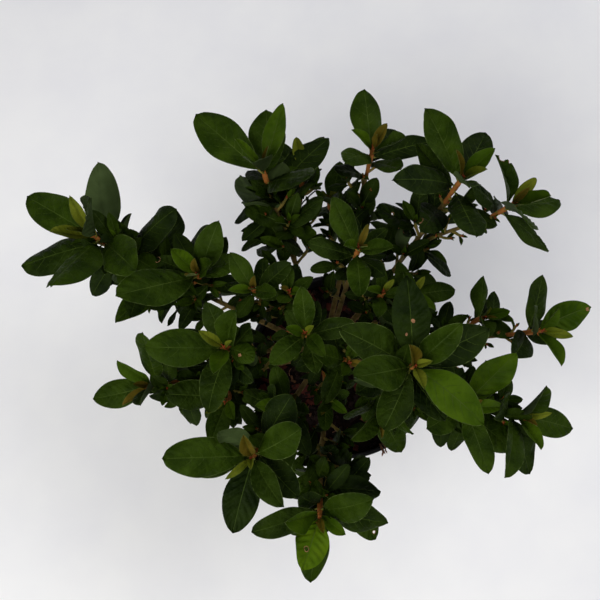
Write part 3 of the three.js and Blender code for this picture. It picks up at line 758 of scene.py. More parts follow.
# What has happened to single leaves: a hole, a bite at the margin or a brown spot, as its place
# along the leaf, its place across from -1 to 1, and its radius. A leaf is named by its mass, its
# shoot and its number from the shoot's tip.
MARKS = {
    ("front", 0, 1): [("hole", 0.62, 0.2, 1.5)],
    ("front", 0, 10): [("hole", 0.6, 0.4, 1.1)],
    ("front", 0, 13): [("hole", 0.5, 0.3, 1.0)],
    ("front", 1, 4): [("hole", 0.85, -0.3, 0.9)],
    ("front_left", 0, 6): [("hole", 0.3, -0.6, 0.9)],
    ("front_right", 0, 8): [("hole", 0.86, 1.0, 2.6)],
    ("front_right", 0, 3): [("hole", 0.9, -1.0, 1.8)],
    ("back_right", 0, 14): [("hole", 0.5, -1.0, 3.0), ("hole", 0.68, 0.1, 0.9)],
    ("back_right", 0, 11): [("hole", 0.9, 1.0, 2.4)],
    ("back_right", 1, 3): [("hole", 0.92, 1.0, 2.4), ("hole", 0.8, 1.0, 1.2)],
    ("middle_right", 0, 6): [("spot", 0.5, 0.1, 1.1), ("spot", 0.36, -0.35, 0.8)],
    ("middle_left", 0, 5): [("spot", 0.55, 0.3, 1.1)],
    ("right", 0, 4): [("spot", 0.93, 0.3, 1.5)],
    ("left", 1, 7): [("hole", 0.97, 0.2, 2.2)],
}
SCAR_WIDTH = 0.35
SCAR_STEPS = 17
SCAR_LIMIT = 0.99
SPOT_CENTRE = 0.05
BITE_ARC = (0.12 * np.pi, 0.88 * np.pi)
CELL_REACH = 0.6
SMALLEST_AWAY = 0.01

# How many leaves are still narrow, yellow or bronze at the tips of the strongest shoots.
YOUNGEST = 2
FLUSHES = {("left", 0): 3, ("middle_right", 0): 3, ("front_left", 0): 3}

# Single leaves that are longer than their neighbours, and their widths as shares of their lengths.
OPENED = {("front", 0, 1): (1.7, 0.7), ("back_left", 0, 2): (1.35, 0.36)}
OPENED_FOLD = 0.3


def is_flush(leaf):
    """Whether a leaf belongs to the newest growth at the tip of a long shoot."""
    shoot = leaf.label and leaf.label[:2]
    return leaf.kind in LONG_SHOOTS and leaf.number < FLUSHES.get(shoot, YOUNGEST)


def look_of_leaf(leaf, random):
    """Adds what makes each leaf a little different: bend, twist, sweep, folds and waves."""
    leaf.bend = random.normal(*(YOUNG_BENDS if leaf.young else GROWN_BENDS))
    leaf.twist = random.normal(*TWISTS)
    leaf.sweep = random.normal(*SWEEPS)
    leaf.fold = random.uniform(*(YOUNG_FOLDS if leaf.young else GROWN_FOLDS))
    leaf.droop = random.uniform(*(YOUNG_DROOPS if leaf.young else GROWN_DROOPS))
    leaf.wave = random.uniform(*WAVES)
    leaf.taper = random.uniform(*TIP_TAPERS)
    leaf.vein_start = random.normal(*VEIN_STARTS)
    leaf.vein_rise = random.normal(*VEIN_RISES)
    leaf.phase = random.uniform(0, 2 * math.pi)
    leaf.tone = random.uniform(0, 1)
    turned_over = random.uniform(0, 1) < TURNED_OVER
    if turned_over and not leaf.young and leaf.label not in MARKS:
        roll = random.uniform(*ROLLS)
        leaf.normal, leaf.side = (leaf.normal * math.cos(roll) + leaf.side * math.sin(roll),
                                  leaf.side * math.cos(roll) - leaf.normal * math.sin(roll))
    if is_flush(leaf):
        leaf.width = random.uniform(*FLUSH_WIDTHS)
        leaf.length *= YOUNGEST_LENGTH if leaf.number < YOUNGEST else FLUSH_LENGTH
    elif not leaf.young:
        leaf.width *= random.uniform(*GROWN_WIDTHS)
    if leaf.label in OPENED:
        longer, leaf.width = OPENED[leaf.label]
        leaf.length *= longer
        leaf.fold = OPENED_FOLD


FIELDS = ("base", "direction", "normal", "side", "length", "width", "bend", "twist", "sweep",
          "fold", "droop", "wave", "phase", "taper", "vein_start", "vein_rise")


def stacked(leaves):
    """The leaves' values as arrays: one row for each leaf, with room for points along it."""
    fields = {}
    for field in FIELDS:
        values = np.array([getattr(leaf, field) for leaf in leaves], float)
        fields[field] = values[:, None] if values.ndim == 1 else values[:, None, :]
    return SimpleNamespace(**fields)


def half_width(s, share):
    """Half a blade's width along it: a narrow foot, its widest past the middle, a short point."""
    blunt = BLUNTNESS + (s.taper - BLUNT_FALL) * share + FOOT_SLIMMING * (1 - share) ** 4
    outline = np.sin(np.pi * np.clip(share, 0, POINT_START) ** WIDEST).clip(0) ** blunt
    outline = outline * ((1 - share) / (1 - POINT_START)).clip(0, 1)
    half = 0.5 * s.width * s.length * outline
    return np.maximum(half, np.where(share < FOOT_SHARE, STALK_HALF, NARROWEST))


def surface(s, share, edge, lift=0.0):
    """Points of the leaves' upper faces and the normals there. share runs from base to tip."""
    half = half_width(s, share)
    turn = s.twist * (share - TWIST_START)
    side = s.side * np.cos(turn)[..., None] + s.normal * np.sin(turn)[..., None]
    normal = s.normal * np.cos(turn)[..., None] - s.side * np.sin(turn)[..., None]
    out = np.abs(edge)
    rise = half * (s.fold * out - s.droop * edge ** 2)
    rise += half * s.wave * np.sin(WAVE_TURN * share + s.phase + edge) * edge ** 2
    vein = (share - s.vein_start - s.vein_rise * out) / VEIN_STEP
    rise -= QUILTING * s.length * np.sin(np.pi * out.clip(0, 1)) * np.cos(2 * np.pi * vein)
    rise -= GROOVE_DEPTH * s.length * np.exp(-(edge / KEEL_WIDTH) ** 2)
    centre = (s.base + s.direction * (s.length * (STALK + share))[..., None]
              - s.normal * (s.length * (BEND + s.bend) * share ** 2)[..., None]
              + s.side * (s.length * s.sweep * share ** 2)[..., None])
    return centre + side * (half * edge)[..., None] + normal * (rise + lift)[..., None], normal


def blade_grid(size):
    """Where a blade's rows and columns of points lie: closer at its ends and at its midrib."""
    along = np.linspace(0, 1, size[0])
    across_it = np.linspace(-1, 1, size[1])
    rows = ROWS_EVEN * along + ROWS_CROWDED * (0.5 - 0.5 * np.cos(np.pi * along))
    return rows, np.sign(across_it) * np.abs(across_it) ** COLUMN_CROWDING


def add_blades(upper, under, leaves, size, holes=()):
    """The leaves' two faces, which meet at the margin. Gives the grid of points of each."""
    rows, columns = blade_grid(size)
    share, edge = (grid.ravel()[None, :] for grid in np.meshgrid(rows, columns, indexing="ij"))
    s = stacked(leaves)
    kept = np.ones((size[0] - 1) * (size[1] - 1) * len(leaves), bool)
    quads = repeated(grid_faces(*size), len(leaves), share.size)
    for hole in holes:
        share, edge, inside = cut_round(s, share, edge, hole)
        kept &= ~inside.ravel()[quads].all(axis=1)
    top, normal = surface(s, share, edge)
    inner = np.sqrt((1 - edge ** 2).clip(0))
    depth = s.length * SHEET * inner + KEEL_DEPTH * inner * np.exp(-(edge / KEEL_WIDTH) ** 2)
    bottom = top - normal * depth[..., None]
    triangles = halved(quads[kept])
    upper.add(top, triangles[:, ::-1])
    under.add(bottom, triangles)
    return top.reshape(len(leaves), size[0], size[1], 3)


def cut_round(s, share, edge, hole):
    """Moves the grid's nearest points onto a round hole, and says which points are inside it."""
    _, hole_share, hole_edge, radius = hole
    middle = hole_edge * half_width(s, np.full_like(share, hole_share))
    along = (share - hole_share) * s.length
    aside = edge * half_width(s, share) - middle
    away = np.hypot(along, aside)
    reach = CELL_REACH * (s.length / MARKED_GRID[0])
    near = np.abs(away - radius) < reach
    scale = np.where(near, radius / away.clip(SMALLEST_AWAY), 1)
    share = (hole_share + along * scale / s.length).clip(0, 1)
    edge = np.where(near, ((middle + aside * scale) / half_width(s, share)).clip(-1, 1), edge)
    return share, edge, away < radius + reach


def on_blades(grid, share, edge):
    """Points on the blades' own facets, at places along and across them."""
    rows, columns = blade_grid(grid.shape[1:3])
    share = np.broadcast_to(share, (len(grid), share.shape[-1]))
    row = np.interp(share, rows, np.arange(len(rows)))
    column = np.interp(np.broadcast_to(edge, share.shape), columns, np.arange(len(columns)))
    r = np.minimum(row.astype(int), len(rows) - 2)
    c = np.minimum(column.astype(int), len(columns) - 2)
    a, b = (row - r)[..., None], (column - c)[..., None]
    leaf = np.arange(len(grid))[:, None]
    first, last = grid[leaf, r, c], grid[leaf, r + 1, c + 1]
    beside, beyond = grid[leaf, r, c + 1], grid[leaf, r + 1, c]
    return np.where(b >= a, first + b * (beside - first) + a * (last - beside),
                    first + a * (beyond - first) + b * (last - beyond))


def add_strips(batch, lines, sideways, half_widths):
    """Flat ribbons, one for each row of points in lines, as wide as half_widths says."""
    count, steps = lines.shape[:2]
    offset = np.broadcast_to(sideways, lines.shape) * half_widths[..., None]
    points = np.stack([lines - offset, lines + offset], axis=2)
    batch.add(points, repeated(grid_faces(steps, 2), count, steps * 2)[:, ::-1])


def add_veins(batch, leaves, grid, with_side_veins):
    """The midrib of each leaf, and its side veins, which curve towards the tip. Their pale shade is partly
    the veins' own colour and partly a painted highlight along them.
    """
    s = stacked(leaves)
    share = np.linspace(0, MIDRIB_END, MIDRIB_POINTS)
    line = on_blades(grid, share, np.zeros_like(share)) + s.normal * VEIN_LIFT
    add_strips(batch, line, s.side, s.length * np.interp(share, [0, 1], MIDRIB_WIDTHS))
    if not with_side_veins:
        return
    along = np.linspace(0, 1, VEIN_POINTS)
    widths = s.length * np.interp(along, [0, 1], VEIN_WIDTHS)
    by_pair, by_hand, by_leaf = JITTER_TURNS
    for pair in range(VEIN_PAIRS):
        for hand in (-1, 1):
            jitter = VEIN_JITTER * np.sin(by_pair * pair + by_hand * hand + by_leaf * s.phase)
            share = s.vein_start + jitter + VEIN_STEP * pair + s.vein_rise * along ** VEIN_CURVE
            edge = hand * (VEIN_FOOT + VEIN_REACH * along)
            line = on_blades(grid, share, edge) + s.normal * VEIN_LIFT
            add_strips(batch, line, s.direction * -hand, widths)


def add_rims(batch, leaves, grid):
    """The thin margin that edges each leaf with fine hair. It is pale partly from the hair's own colour and
    partly from a painted sheen where the hair catches the light.
    """
    s = stacked(leaves)
    share = blade_grid(grid.shape[1:3])[0][1:-1]
    widths = s.length * RIM_WIDTH * np.ones_like(share)
    for hand in (-1, 1):
        line = on_blades(grid, share, np.full_like(share, hand * RIM_EDGE))
        add_strips(batch, line, s.side, widths)


def add_ring(batch, leaf, mark, inner, outer):
    """A flat ring on a leaf round a hole or a bite, or a disc where inner is next to nothing."""
    _, mark_share, mark_edge, _ = mark
    s = stacked([leaf])
    first, last = (0, 2 * np.pi) if abs(mark_edge) < 1 else BITE_ARC
    angle = np.linspace(first, last, SCAR_STEPS)[None, :]
    if mark_edge == 1:
        angle = angle + np.pi
    lines = []
    for radius in (inner, outer):
        share = (mark_share + radius * np.cos(angle) / s.length).clip(0, SCAR_LIMIT)
        middle = mark_edge * half_width(s, np.full_like(share, mark_share))
        edge = (middle + radius * np.sin(angle)) / half_width(s, share)
        lines.append(surface(s, share, edge.clip(-1, 1), VEIN_LIFT)[0][0])
    batch.add(np.stack(lines, axis=1), grid_faces(SCAR_STEPS, 2)[:, ::-1])


# Leaf stalks, buds and bristles.

STALK_RADIUS = 0.55
STALK_SIDES = 6
STALK_TAPER = np.array([1.25, 1, 0.95, 0.4])
THINNEST_STALK = 0.6
STALK_GROWTH = 80
JOINT_SHARES = (0.0, 0.12)
JOINT_DEPTH = 0.3
BUD_SIZE = 3.2
SMALL_BUD_SIZE = 1.8
BUD_RINGS = 6
BUD_SIDES = 7
BUD_LENGTH = 1.25
BUD_SINK = 0.35
BUD_WIDTH = 0.36
BUD_ENDS = (0.12, 0.86)
BUD_ROUNDNESS = 0.8
SCALES = 4
SCALE_SIDES = 4
SCALE_LINE = np.array([[-0.1], [0.5], [1.0], [1.35]])
SCALE_RADII = np.array([0.14, 0.17, 0.1, 0.02])
SCALE_TURNS = (0, 40)
SCALE_TILTS = (18, 34)
BRISTLES = 88
BRISTLY_LENGTH = 22
BRISTLE_TILTS = (40, 75)
BRISTLE_START = 0.8
BRISTLE_LENGTHS = (0.9, 1.7)
BRISTLE_RADII = (0.07, 0.05, 0.015)
BRISTLE_SIDES = 3


def add_stalks(batch, leaves):
    """The leaf stalks, from inside the twig to a little way under the blade."""
    for leaf in leaves:
        near, far = surface(stacked([leaf]), np.array([JOINT_SHARES]), np.zeros((1, 2)), -JOINT_DEPTH)[0][0]
        line = np.array([leaf.base, leaf.base * 0.5 + near * 0.5, near, far])
        thickness = STALK_RADIUS * (THINNEST_STALK + leaf.length / STALK_GROWTH) * STALK_TAPER
        add_round(batch, line, thickness, STALK_SIDES)


def add_buds(batch, shoots, random):
    """The pointed bud in the middle of each rosette, with a few open scales."""
    share = np.linspace(0, 1, BUD_RINGS)
    low, high = BUD_ENDS
    for shoot in shoots:
        tip, direction = shoot.path.at(shoot.path.length)
        size = BUD_SIZE if shoot.kind in LONG_SHOOTS else SMALL_BUD_SIZE
        line = tip + direction * size * (share[:, None] * BUD_LENGTH - BUD_SINK)
        radii = BUD_WIDTH * size * np.sin(np.pi * (low + high * share)) ** BUD_ROUNDNESS
        add_round(batch, line, radii, BUD_SIDES)
        for scale in range(SCALES):
            turn = 360 / SCALES * scale + random.uniform(*SCALE_TURNS)
            out = tilted(direction, turn, random.uniform(*SCALE_TILTS))
            add_round(batch, tip + out * size * SCALE_LINE, size * SCALE_RADII, SCALE_SIDES)


def add_bristles(batch, shoots, random):
    """Short stiff hairs on the young wood."""
    for shoot in shoots:
        for _ in range(BRISTLES):
            point, axis = shoot.path.at(shoot.path.length - random.uniform(0, BRISTLY_LENGTH))
            out = tilted(axis, random.uniform(0, 360), random.uniform(*BRISTLE_TILTS))
            root = point + out * BRISTLE_START
            tip = root + out * random.uniform(*BRISTLE_LENGTHS)
            add_round(batch, np.array([root, (root + tip) / 2, tip]), BRISTLE_RADII, BRISTLE_SIDES, False)


# The pot, its compost and what lies on it.

POT_SEGMENTS = 112
COLLAR_FOOT = POT_HEIGHT - COLLAR_HEIGHT
SHOULDER = COLLAR_FOOT - COLLAR_STEP
COLLAR_RADIUS = RIM_RADIUS - LIP_WIDTH
COLLAR_FOOT_RADIUS = COLLAR_RADIUS - COLLAR_TAPER
SHOULDER_RADIUS = COLLAR_FOOT_RADIUS - COLLAR_STEP
FOOT_CHAMFER = 2
LIP_SLOPE = 0.6
LIP_CHAMFER = 0.5
CORNER_RADIUS = 0.8
CORNER_SHARE = 0.4
CORNER_STEPS = 4
SHARP_ANGLE = 40
HOLE_SIDES = 20
HOLE_REACH = 6
SOIL_RINGS = 44
SOIL_INSET = 0.8
SOIL_SINK = 0.8
SOIL_ROUGHNESS = 0.9
CLUMP_SIZE = 9
CLUMP_SLICE = 0.3
CLUMP_NOISE = (1.0, 2.0, 4)


def rounded(outline):
    """An outline of radius and height with each inner corner rounded off."""
    points = [np.array(point, float) for point in outline]
    smooth = [points[0]]
    for before, corner, after in zip(points[:-2], points[1:-1], points[2:]):
        r = min(CORNER_RADIUS, *(CORNER_SHARE * np.linalg.norm(end - corner) for end in (before, after)))
        start = corner + unit(before - corner) * r
        end = corner + unit(after - corner) * r
        for t in np.linspace(0, 1, CORNER_STEPS):
            smooth.append((1 - t) ** 2 * start + 2 * t * (1 - t) * corner + t ** 2 * end)
    return np.array(smooth + [points[-1]])


def add_turned(batch, outline, segments):
    """Adds a closed solid turned from an outline that starts and ends on the axis."""
    angles = angles_round(segments)
    inner = outline[1:-1]
    rings = np.stack([inner[:, :1] * np.cos(angles), inner[:, :1] * np.sin(angles),
                      np.broadcast_to(inner[:, 1:], (len(inner), segments))], -1)
    centres = np.zeros((len(inner), 3))
    centres[:, 2] = outline[-1, 1]
    centres[0, 2] = outline[0, 1]
    add_tube(batch, centres, rings)


def cut_away(piece, cutter):
    """Cuts one piece's shape out of another and removes the cutter."""
    cut = piece.modifiers.new("cut", "BOOLEAN")
    cut.operation = "DIFFERENCE"
    cut.solver = "EXACT"
    cut.object = cutter
    bpy.context.view_layer.update()
    whole = piece.evaluated_get(bpy.context.evaluated_depsgraph_get())
    mesh = bpy.data.meshes.new_from_object(whole)
    piece.modifiers.clear()
    piece.data = mesh
    bpy.data.objects.remove(cutter)


def pot_piece(material):
    """The pot as one moulding, with its drain holes cut through the wall."""
    outline = rounded([
        (0, 0), (FOOT_RADIUS - FOOT_CHAMFER, 0), (FOOT_RADIUS, FOOT_CHAMFER),
        (SHOULDER_RADIUS, SHOULDER), (COLLAR_FOOT_RADIUS, COLLAR_FOOT),
        (COLLAR_RADIUS, POT_HEIGHT - LIP_HEIGHT), (RIM_RADIUS, POT_HEIGHT - LIP_HEIGHT + LIP_SLOPE),
        (RIM_RADIUS, POT_HEIGHT - LIP_CHAMFER), (RIM_RADIUS - LIP_CHAMFER, POT_HEIGHT),
        (COLLAR_RADIUS - WALL, POT_HEIGHT), (COLLAR_FOOT_RADIUS - WALL, COLLAR_FOOT),
        (SHOULDER_RADIUS - WALL, SHOULDER), (FOOT_RADIUS - WALL, FLOOR_THICKNESS), (0, FLOOR_THICKNESS)])
    batch = Batch()
    add_turned(batch, outline, POT_SEGMENTS)
    pot = batch.piece("nursery_pot", material, "pot", "pot")
    cutters = Batch()
    for hole in range(DRAIN_HOLES):
        out = heading((hole + 0.5) * 360 / DRAIN_HOLES + 90)
        middle = out * FOOT_RADIUS + UP * DRAIN_HEIGHT
        line = np.array([middle + out * reach for reach in (-HOLE_REACH, 0, HOLE_REACH)])
        add_round(cutters, line, np.full(3, DRAIN_RADIUS), HOLE_SIDES)
    cut_away(pot, cutters.piece("drain_hole_cutter", material, "pot"))
    pot.data.polygons.foreach_set("use_smooth", np.full(len(pot.data.polygons), True))
    pot.data.set_sharp_from_angle(angle=math.radians(SHARP_ANGLE))


def soil_height(x, y):
    """The uneven top of the compost: level round the stem, lower along the wall."""
    radius = math.hypot(x, y)
    dip = SOIL_DIP * max(0.0, (radius - SOIL_FLAT_RADIUS) / (COLLAR_RADIUS - SOIL_FLAT_RADIUS))
    clumps = noise.fractal(Vector((x / CLUMP_SIZE, y / CLUMP_SIZE, CLUMP_SLICE)), *CLUMP_NOISE)
    return SOIL_LEVEL - SOIL_SINK - dip + SOIL_ROUGHNESS * clumps


def compost_piece(material):
    """The compost: its sides along the wall, and its uneven top in rings from the wall inwards."""
    side = [(FOOT_RADIUS - WALL - GAP, FLOOR_THICKNESS + GAP), (SHOULDER_RADIUS - WALL - GAP, SHOULDER),
            (COLLAR_FOOT_RADIUS - WALL - GAP, COLLAR_FOOT)]
    angles = angles_round(POT_SEGMENTS)
    rings = [[(radius * math.cos(a), radius * math.sin(a), height) for a in angles]
             for radius, height in side]
    for radius in np.linspace(COLLAR_RADIUS - WALL - SOIL_INSET, SOIL_INSET, SOIL_RINGS):
        circle = [(radius * math.cos(a), radius * math.sin(a)) for a in angles]
        rings.append([(x, y, soil_height(x, y)) for x, y in circle])
    centres = np.zeros((len(rings), 3))
    centres[:, 2] = soil_height(0, 0)
    centres[0, 2] = FLOOR_THICKNESS + GAP
    batch = Batch()
    add_tube(batch, centres, np.array(rings))
    batch.piece("compost_bed", material, "compost", "compost")


CUBE = np.array([(x, y, z) for x in (-0.5, 0.5) for y in (-0.5, 0.5) for z in (-0.5, 0.5)])
CUBE_FACES = np.array([(0, 1, 3, 2), (4, 6, 7, 5), (0, 4, 5, 1), (2, 3, 7, 6), (0, 2, 6, 4), (1, 5, 7, 3)])

# The bark chips: how many of each, and the ranges of their length, their width and their thickness.
CHIPS = {
    "bark_chips_red": (150, (4, 11), (2.2, 5), (0.8, 2)),
    "bark_chips_dark": (420, (2.5, 8), (1.6, 4), (0.7, 1.8)),
    "bark_chips_pale": (26, (3, 8), (1.4, 3), (0.6, 1.4)),
}
CHIP_INSET = 3.5
CHIP_STEM_SHARE = 1.35
SHORTEST_CHIP = 0.35
CHIP_CORNERS = (0.65, 1.0)
CHIP_RAGGEDNESS = 0.06
CHIP_TILT = 0.22
CHIP_LIFTS = (0.1, 0.6)


def add_chips(batch, random, count, *size_ranges):
    """Flakes of bark scattered over the compost, clear of the stem and of the pot's wall."""
    while count:
        radius = math.sqrt(random.uniform(0, 1)) * (COLLAR_RADIUS - WALL - CHIP_INSET)
        angle = random.uniform(0, 2 * math.pi)
        x, y = radius * math.cos(angle), radius * math.sin(angle)
        if math.hypot(x - STEM_FOOT[0], y - STEM_FOOT[1]) < STEM_RADII[0] * CHIP_STEM_SHARE:
            continue
        sizes = np.array([random.uniform(*size_range) for size_range in size_ranges])
        room = min(1.0, (COLLAR_RADIUS - WALL - 1 - radius) * 2 / sizes[0])
        sizes[:2] *= max(room, SHORTEST_CHIP)
        corners = CUBE * sizes * random.uniform(*CHIP_CORNERS, (8, 1))
        corners += random.normal(0, CHIP_RAGGEDNESS, (8, 3)) * sizes
        turn = random.uniform(0, 2 * math.pi)
        tilt = random.normal(0, CHIP_TILT)
        c, s = math.cos(turn), math.sin(turn)
        turning = np.array([(c, -s, 0), (s, c, 0), (0, 0, 1)])
        c, s = math.cos(tilt), math.sin(tilt)
        tilting = np.array([(c, 0, s), (0, 1, 0), (-s, 0, c)])
        height = soil_height(x, y) + sizes[2] * random.uniform(*CHIP_LIFTS)
        batch.add(corners @ (turning @ tilting).T + [x, y, height], CUBE_FACES)
        count -= 1


# Fine roots on the compost, and the wisp of them that hangs over the rim at the front.
FIBRES = 34
FIBRE_PLACES = (14, COLLAR_RADIUS - 12)
FIBRE_REACHES = (5, 12)
FIBRE_BOW = 0.8
FIBRE_POINTS = 7
FIBRE_LIFT = 1.0
FIBRE_RISES = (0, 0.6)
FIBRE_ENDS = (0.35, 0.12)
FIBRE_SIDES = 5
WISP_AZIMUTH = 296
WISP_STRANDS = 4
WISP_SIDES = 6
WISP_SWAYS = (-3, 3)
SWAY_SHARE = 0.4
WISP_SHIFTS = (-0.3, 0.6)
WISP_REACHES = np.array([-5, -1.5, 1.2, 2.4, 3.4])
WISP_HEIGHTS = np.array([-2.5, 1.0, 1.4, -0.5, -3])
WISP_FALLS = np.array([0, 0, 0, 1, 1.6])
WISP_RADII = (0.3, 0.55, 0.6, 0.45, 0.12)


def add_fibres(batch, random):
    """Bowed fibres that lie on the compost."""
    for _ in range(FIBRES):
        angle = random.uniform(0, 2 * math.pi)
        radius = random.uniform(*FIBRE_PLACES)
        turn = random.uniform(0, 2 * math.pi)
        reach = random.uniform(*FIBRE_REACHES)
        line = []
        for t in np.linspace(-0.5, 0.5, FIBRE_POINTS):
            bow = FIBRE_BOW * reach * (0.25 - t * t)
            x = radius * math.cos(angle) + reach * t * math.cos(turn) - bow * math.sin(turn)
            y = radius * math.sin(angle) + reach * t * math.sin(turn) + bow * math.cos(turn)
            line.append((x, y, soil_height(x, y) + FIBRE_LIFT + random.uniform(*FIBRE_RISES)))
        add_round(batch, np.array(line), np.linspace(*FIBRE_ENDS, FIBRE_POINTS), FIBRE_SIDES)


def add_wisp(batch, random):
    """Husks of root that hang over the rim, each strand lower than the one before."""
    out = heading(WISP_AZIMUTH)
    aside = np.cross(UP, out)
    for strand in range(WISP_STRANDS):
        sway = np.cumsum(random.uniform(*WISP_SWAYS, len(WISP_REACHES))) * SWAY_SHARE
        reach = RIM_RADIUS + (WISP_REACHES + random.uniform(*WISP_SHIFTS))
        height = POT_HEIGHT + (WISP_HEIGHTS - WISP_FALLS * strand)
        line = out * reach[:, None] + aside * sway[:, None] + UP * height[:, None]
        add_round(batch, line, WISP_RADII, WISP_SIDES)


# Materials: the dark and the light shade, the roughness, the gloss, and the scale and the detail of
# their patches. Then, where the surface has a grain, its strength, its scale and its depth.

MATERIALS = {
    "leaf_underside": ((46, 58, 28), (62, 76, 42), 0.6, 0.05, 60, 3, 0.2),
    "young_underside": ((84, 96, 46), (108, 118, 64), 0.6, 0.05, 60, 3, 0.2),
    # The vein shade is paler than the blade partly by the veins' own colour and partly as a painted
    # highlight along the midrib.
    "leaf_vein": ((46, 62, 16), (64, 80, 28), 0.5, 0.05, 60),
    # The rim shade is paler partly by the colour of the marginal hair and partly as a painted sheen where
    # the hair catches the light.
    "leaf_rim": ((52, 66, 26), (74, 88, 42), 0.6, 0.05, 60),
    "leaf_scar": ((120, 84, 56), (160, 118, 88), 0.8, 0.1, 150),
    "leaf_stalk": ((92, 100, 36), (116, 112, 46), 0.55, 0.15, 90),
    "young_stalk": ((156, 84, 36), (184, 112, 52), 0.55, 0.15, 90),
    "bark": ((78, 66, 30), (120, 100, 54), 0.8, 0.15, 160, 5, 0.8, 700),
    "young_bark": ((112, 64, 22), (154, 98, 44), 0.7, 0.15, 140, 4, 0.6),
    "green_twig": ((98, 92, 38), (126, 108, 50), 0.65, 0.15, 120, 3, 0.4),
    "bud_scale": ((128, 52, 26), (160, 82, 40), 0.6, 0.2, 200, 3, 0.4, 1500),
    "bristle": ((158, 84, 42), (190, 124, 72), 0.7, 0.1, 200),
    "black_pot": ((20, 20, 21), (28, 28, 29), 0.46, 0.35, 30, 6, 0.25, 1200, 0.0003),
    "compost": ((14, 8, 7), (30, 17, 13), 0.95, 0.1, 110, 6, 1.0, 420, 0.0012),
    "bark_chips_red": ((54, 20, 15), (82, 34, 24), 0.85, 0.2, 220, 5, 0.8, 800, 0.0006),
    "bark_chips_dark": ((20, 11, 9), (38, 21, 16), 0.85, 0.2, 220, 5, 0.8, 800, 0.0006),
    "bark_chips_pale": ((84, 56, 36), (112, 78, 52), 0.85, 0.2, 220, 5, 0.8, 800, 0.0006),
    "root_fibre": ((92, 60, 44), (128, 92, 70), 0.8, 0.2, 200),
    "white_floor": ((238, 238, 240), (243, 243, 243), 0.7, 0.2, 14),
}
LEAF_COLOURS = {
    "mature": ((19, 31, 2), (37, 52, 8)),
    "deep": ((15, 26, 4), (31, 44, 10)),
    "green": ((26, 41, 2), (43, 60, 8)),
    "fresh": ((39, 59, 3), (57, 78, 8)),
    "lime": ((57, 81, 4), (74, 96, 9)),
    "young": ((76, 86, 16), (100, 106, 28)),
    "bronze": ((70, 62, 12), (92, 78, 24)),
}
NEW_LEAVES = ("fresh", "lime", "young", "bronze")
for kind, shades in LEAF_COLOURS.items():
    MATERIALS[kind + "_leaf"] = (*shades, 0.5, 0.03, 70, 3, 0.25 if kind in NEW_LEAVES else 0.6, 260, 0.003)
SHADE_ENDS = (0.34, 0.66)
GRAIN_DETAIL = 4


def linear(colour):
    """A colour given in sRGB steps from 0 to 255, as shaders take it."""
    values = [value / 255 for value in colour]
    return [v / 12.92 if v <= 0.04045 else ((v + 0.055) / 1.055) ** 2.4 for v in values] + [1.0]


def noise_node(nodes, links, place, scale, detail):
    """A noise pattern fixed to the object. Gives its value from 0 to 1."""
    pattern = nodes.new("ShaderNodeTexNoise")
    pattern.inputs["Scale"].default_value = scale
    pattern.inputs["Detail"].default_value = detail
    links.new(place.outputs["Object"], pattern.inputs["Vector"])
    return pattern.outputs["Fac"]


def made_material(name):
    """A listed material, whose colour wanders between its two shades."""
    return wandering_material(name, *MATERIALS[name])


def wandering_material(name, dark, light, roughness, gloss, scale, detail=3, bump=0, bump_scale=900,
                       bump_depth=0.0004):
    """A material whose colour wanders between two shades, with a fine grain in its surface."""
    material = bpy.data.materials.new(name)
    material.use_nodes = True
    nodes, links = material.node_tree.nodes, material.node_tree.links
    shader = nodes["Principled BSDF"]
    shader.inputs["Roughness"].default_value = roughness
    shader.inputs["Specular IOR Level"].default_value = gloss
    place_of = nodes.new("ShaderNodeTexCoord")
    shades = nodes.new("ShaderNodeValToRGB")
    for stop, position, shade in zip(shades.color_ramp.elements, SHADE_ENDS, (dark, light)):
        stop.position = position
        stop.color = linear(shade)
    links.new(noise_node(nodes, links, place_of, scale, detail), shades.inputs["Fac"])
    links.new(shades.outputs["Color"], shader.inputs["Base Color"])
    if bump:
        relief = nodes.new("ShaderNodeBump")
        relief.inputs["Strength"].default_value = bump
        relief.inputs["Distance"].default_value = bump_depth
        grain = noise_node(nodes, links, place_of, bump_scale, GRAIN_DETAIL)
        links.new(grain, relief.inputs["Height"])
        links.new(relief.outputs["Normal"], shader.inputs["Normal"])
    return material


# Putting the plant together.

# Leaves whose colour stands out from their neighbours'.
TINTED = {
    "lime": [("front", 0, 1)],
    "fresh": [("front", 0, 2), ("front", 0, 3), ("right", 0, 3), ("right", 0, 4), ("back_left", 0, 1),
              ("back_left", 0, 2), ("front_right", 0, 5), ("middle_right", 0, 5)],
    "green": [("front", 0, 4), ("front", 1, 4), ("front_left", 0, 4), ("left", 0, 4),
              ("middle_right", 0, 3)],
    "mature": [("front", 0, 6), ("front_left", 0, 3), ("left", 0, 3), ("back_right", 0, 3)],
}
TINTS = {label: kind for kind, labels in TINTED.items() for label in labels}
BRONZE_TONE = 0.55
GREEN_TONE = 0.88
DEEP_TONE = 0.35
FRESH = 3
FRESH_ON_TWIG = 1
GREEN = 6
GREEN_ON_TWIG = 3


def kind_of(leaf):
    """Which colour a leaf has, by its age, by its kind of shoot and by chance."""
    is_long = leaf.kind in LONG_SHOOTS
    if leaf.label in TINTS:
        return TINTS[leaf.label]
    if is_flush(leaf):
        return "bronze" if leaf.tone > BRONZE_TONE else "young"
    if leaf.number < (FRESH if is_long else FRESH_ON_TWIG):
        return "fresh"
    if leaf.number < (GREEN if is_long else GREEN_ON_TWIG) or leaf.tone > GREEN_TONE:
        return "green"
    return "deep" if leaf.number > CROWDED or leaf.tone < DEEP_TONE else "mature"


def add_marked(upper, under, scars, leaf):
    """A leaf with its holes, its bites and its spots. Gives its grid of points."""
    marks = MARKS[leaf.label]
    grid = add_blades(upper, under, [leaf], MARKED_GRID, [mark for mark in marks if mark[0] == "hole"])
    for mark in marks:
        radius = mark[3]
        inner, outer = (SPOT_CENTRE, radius) if mark[0] == "spot" else (radius, radius + SCAR_WIDTH)
        add_ring(scars, leaf, mark, inner, outer)
    return grid


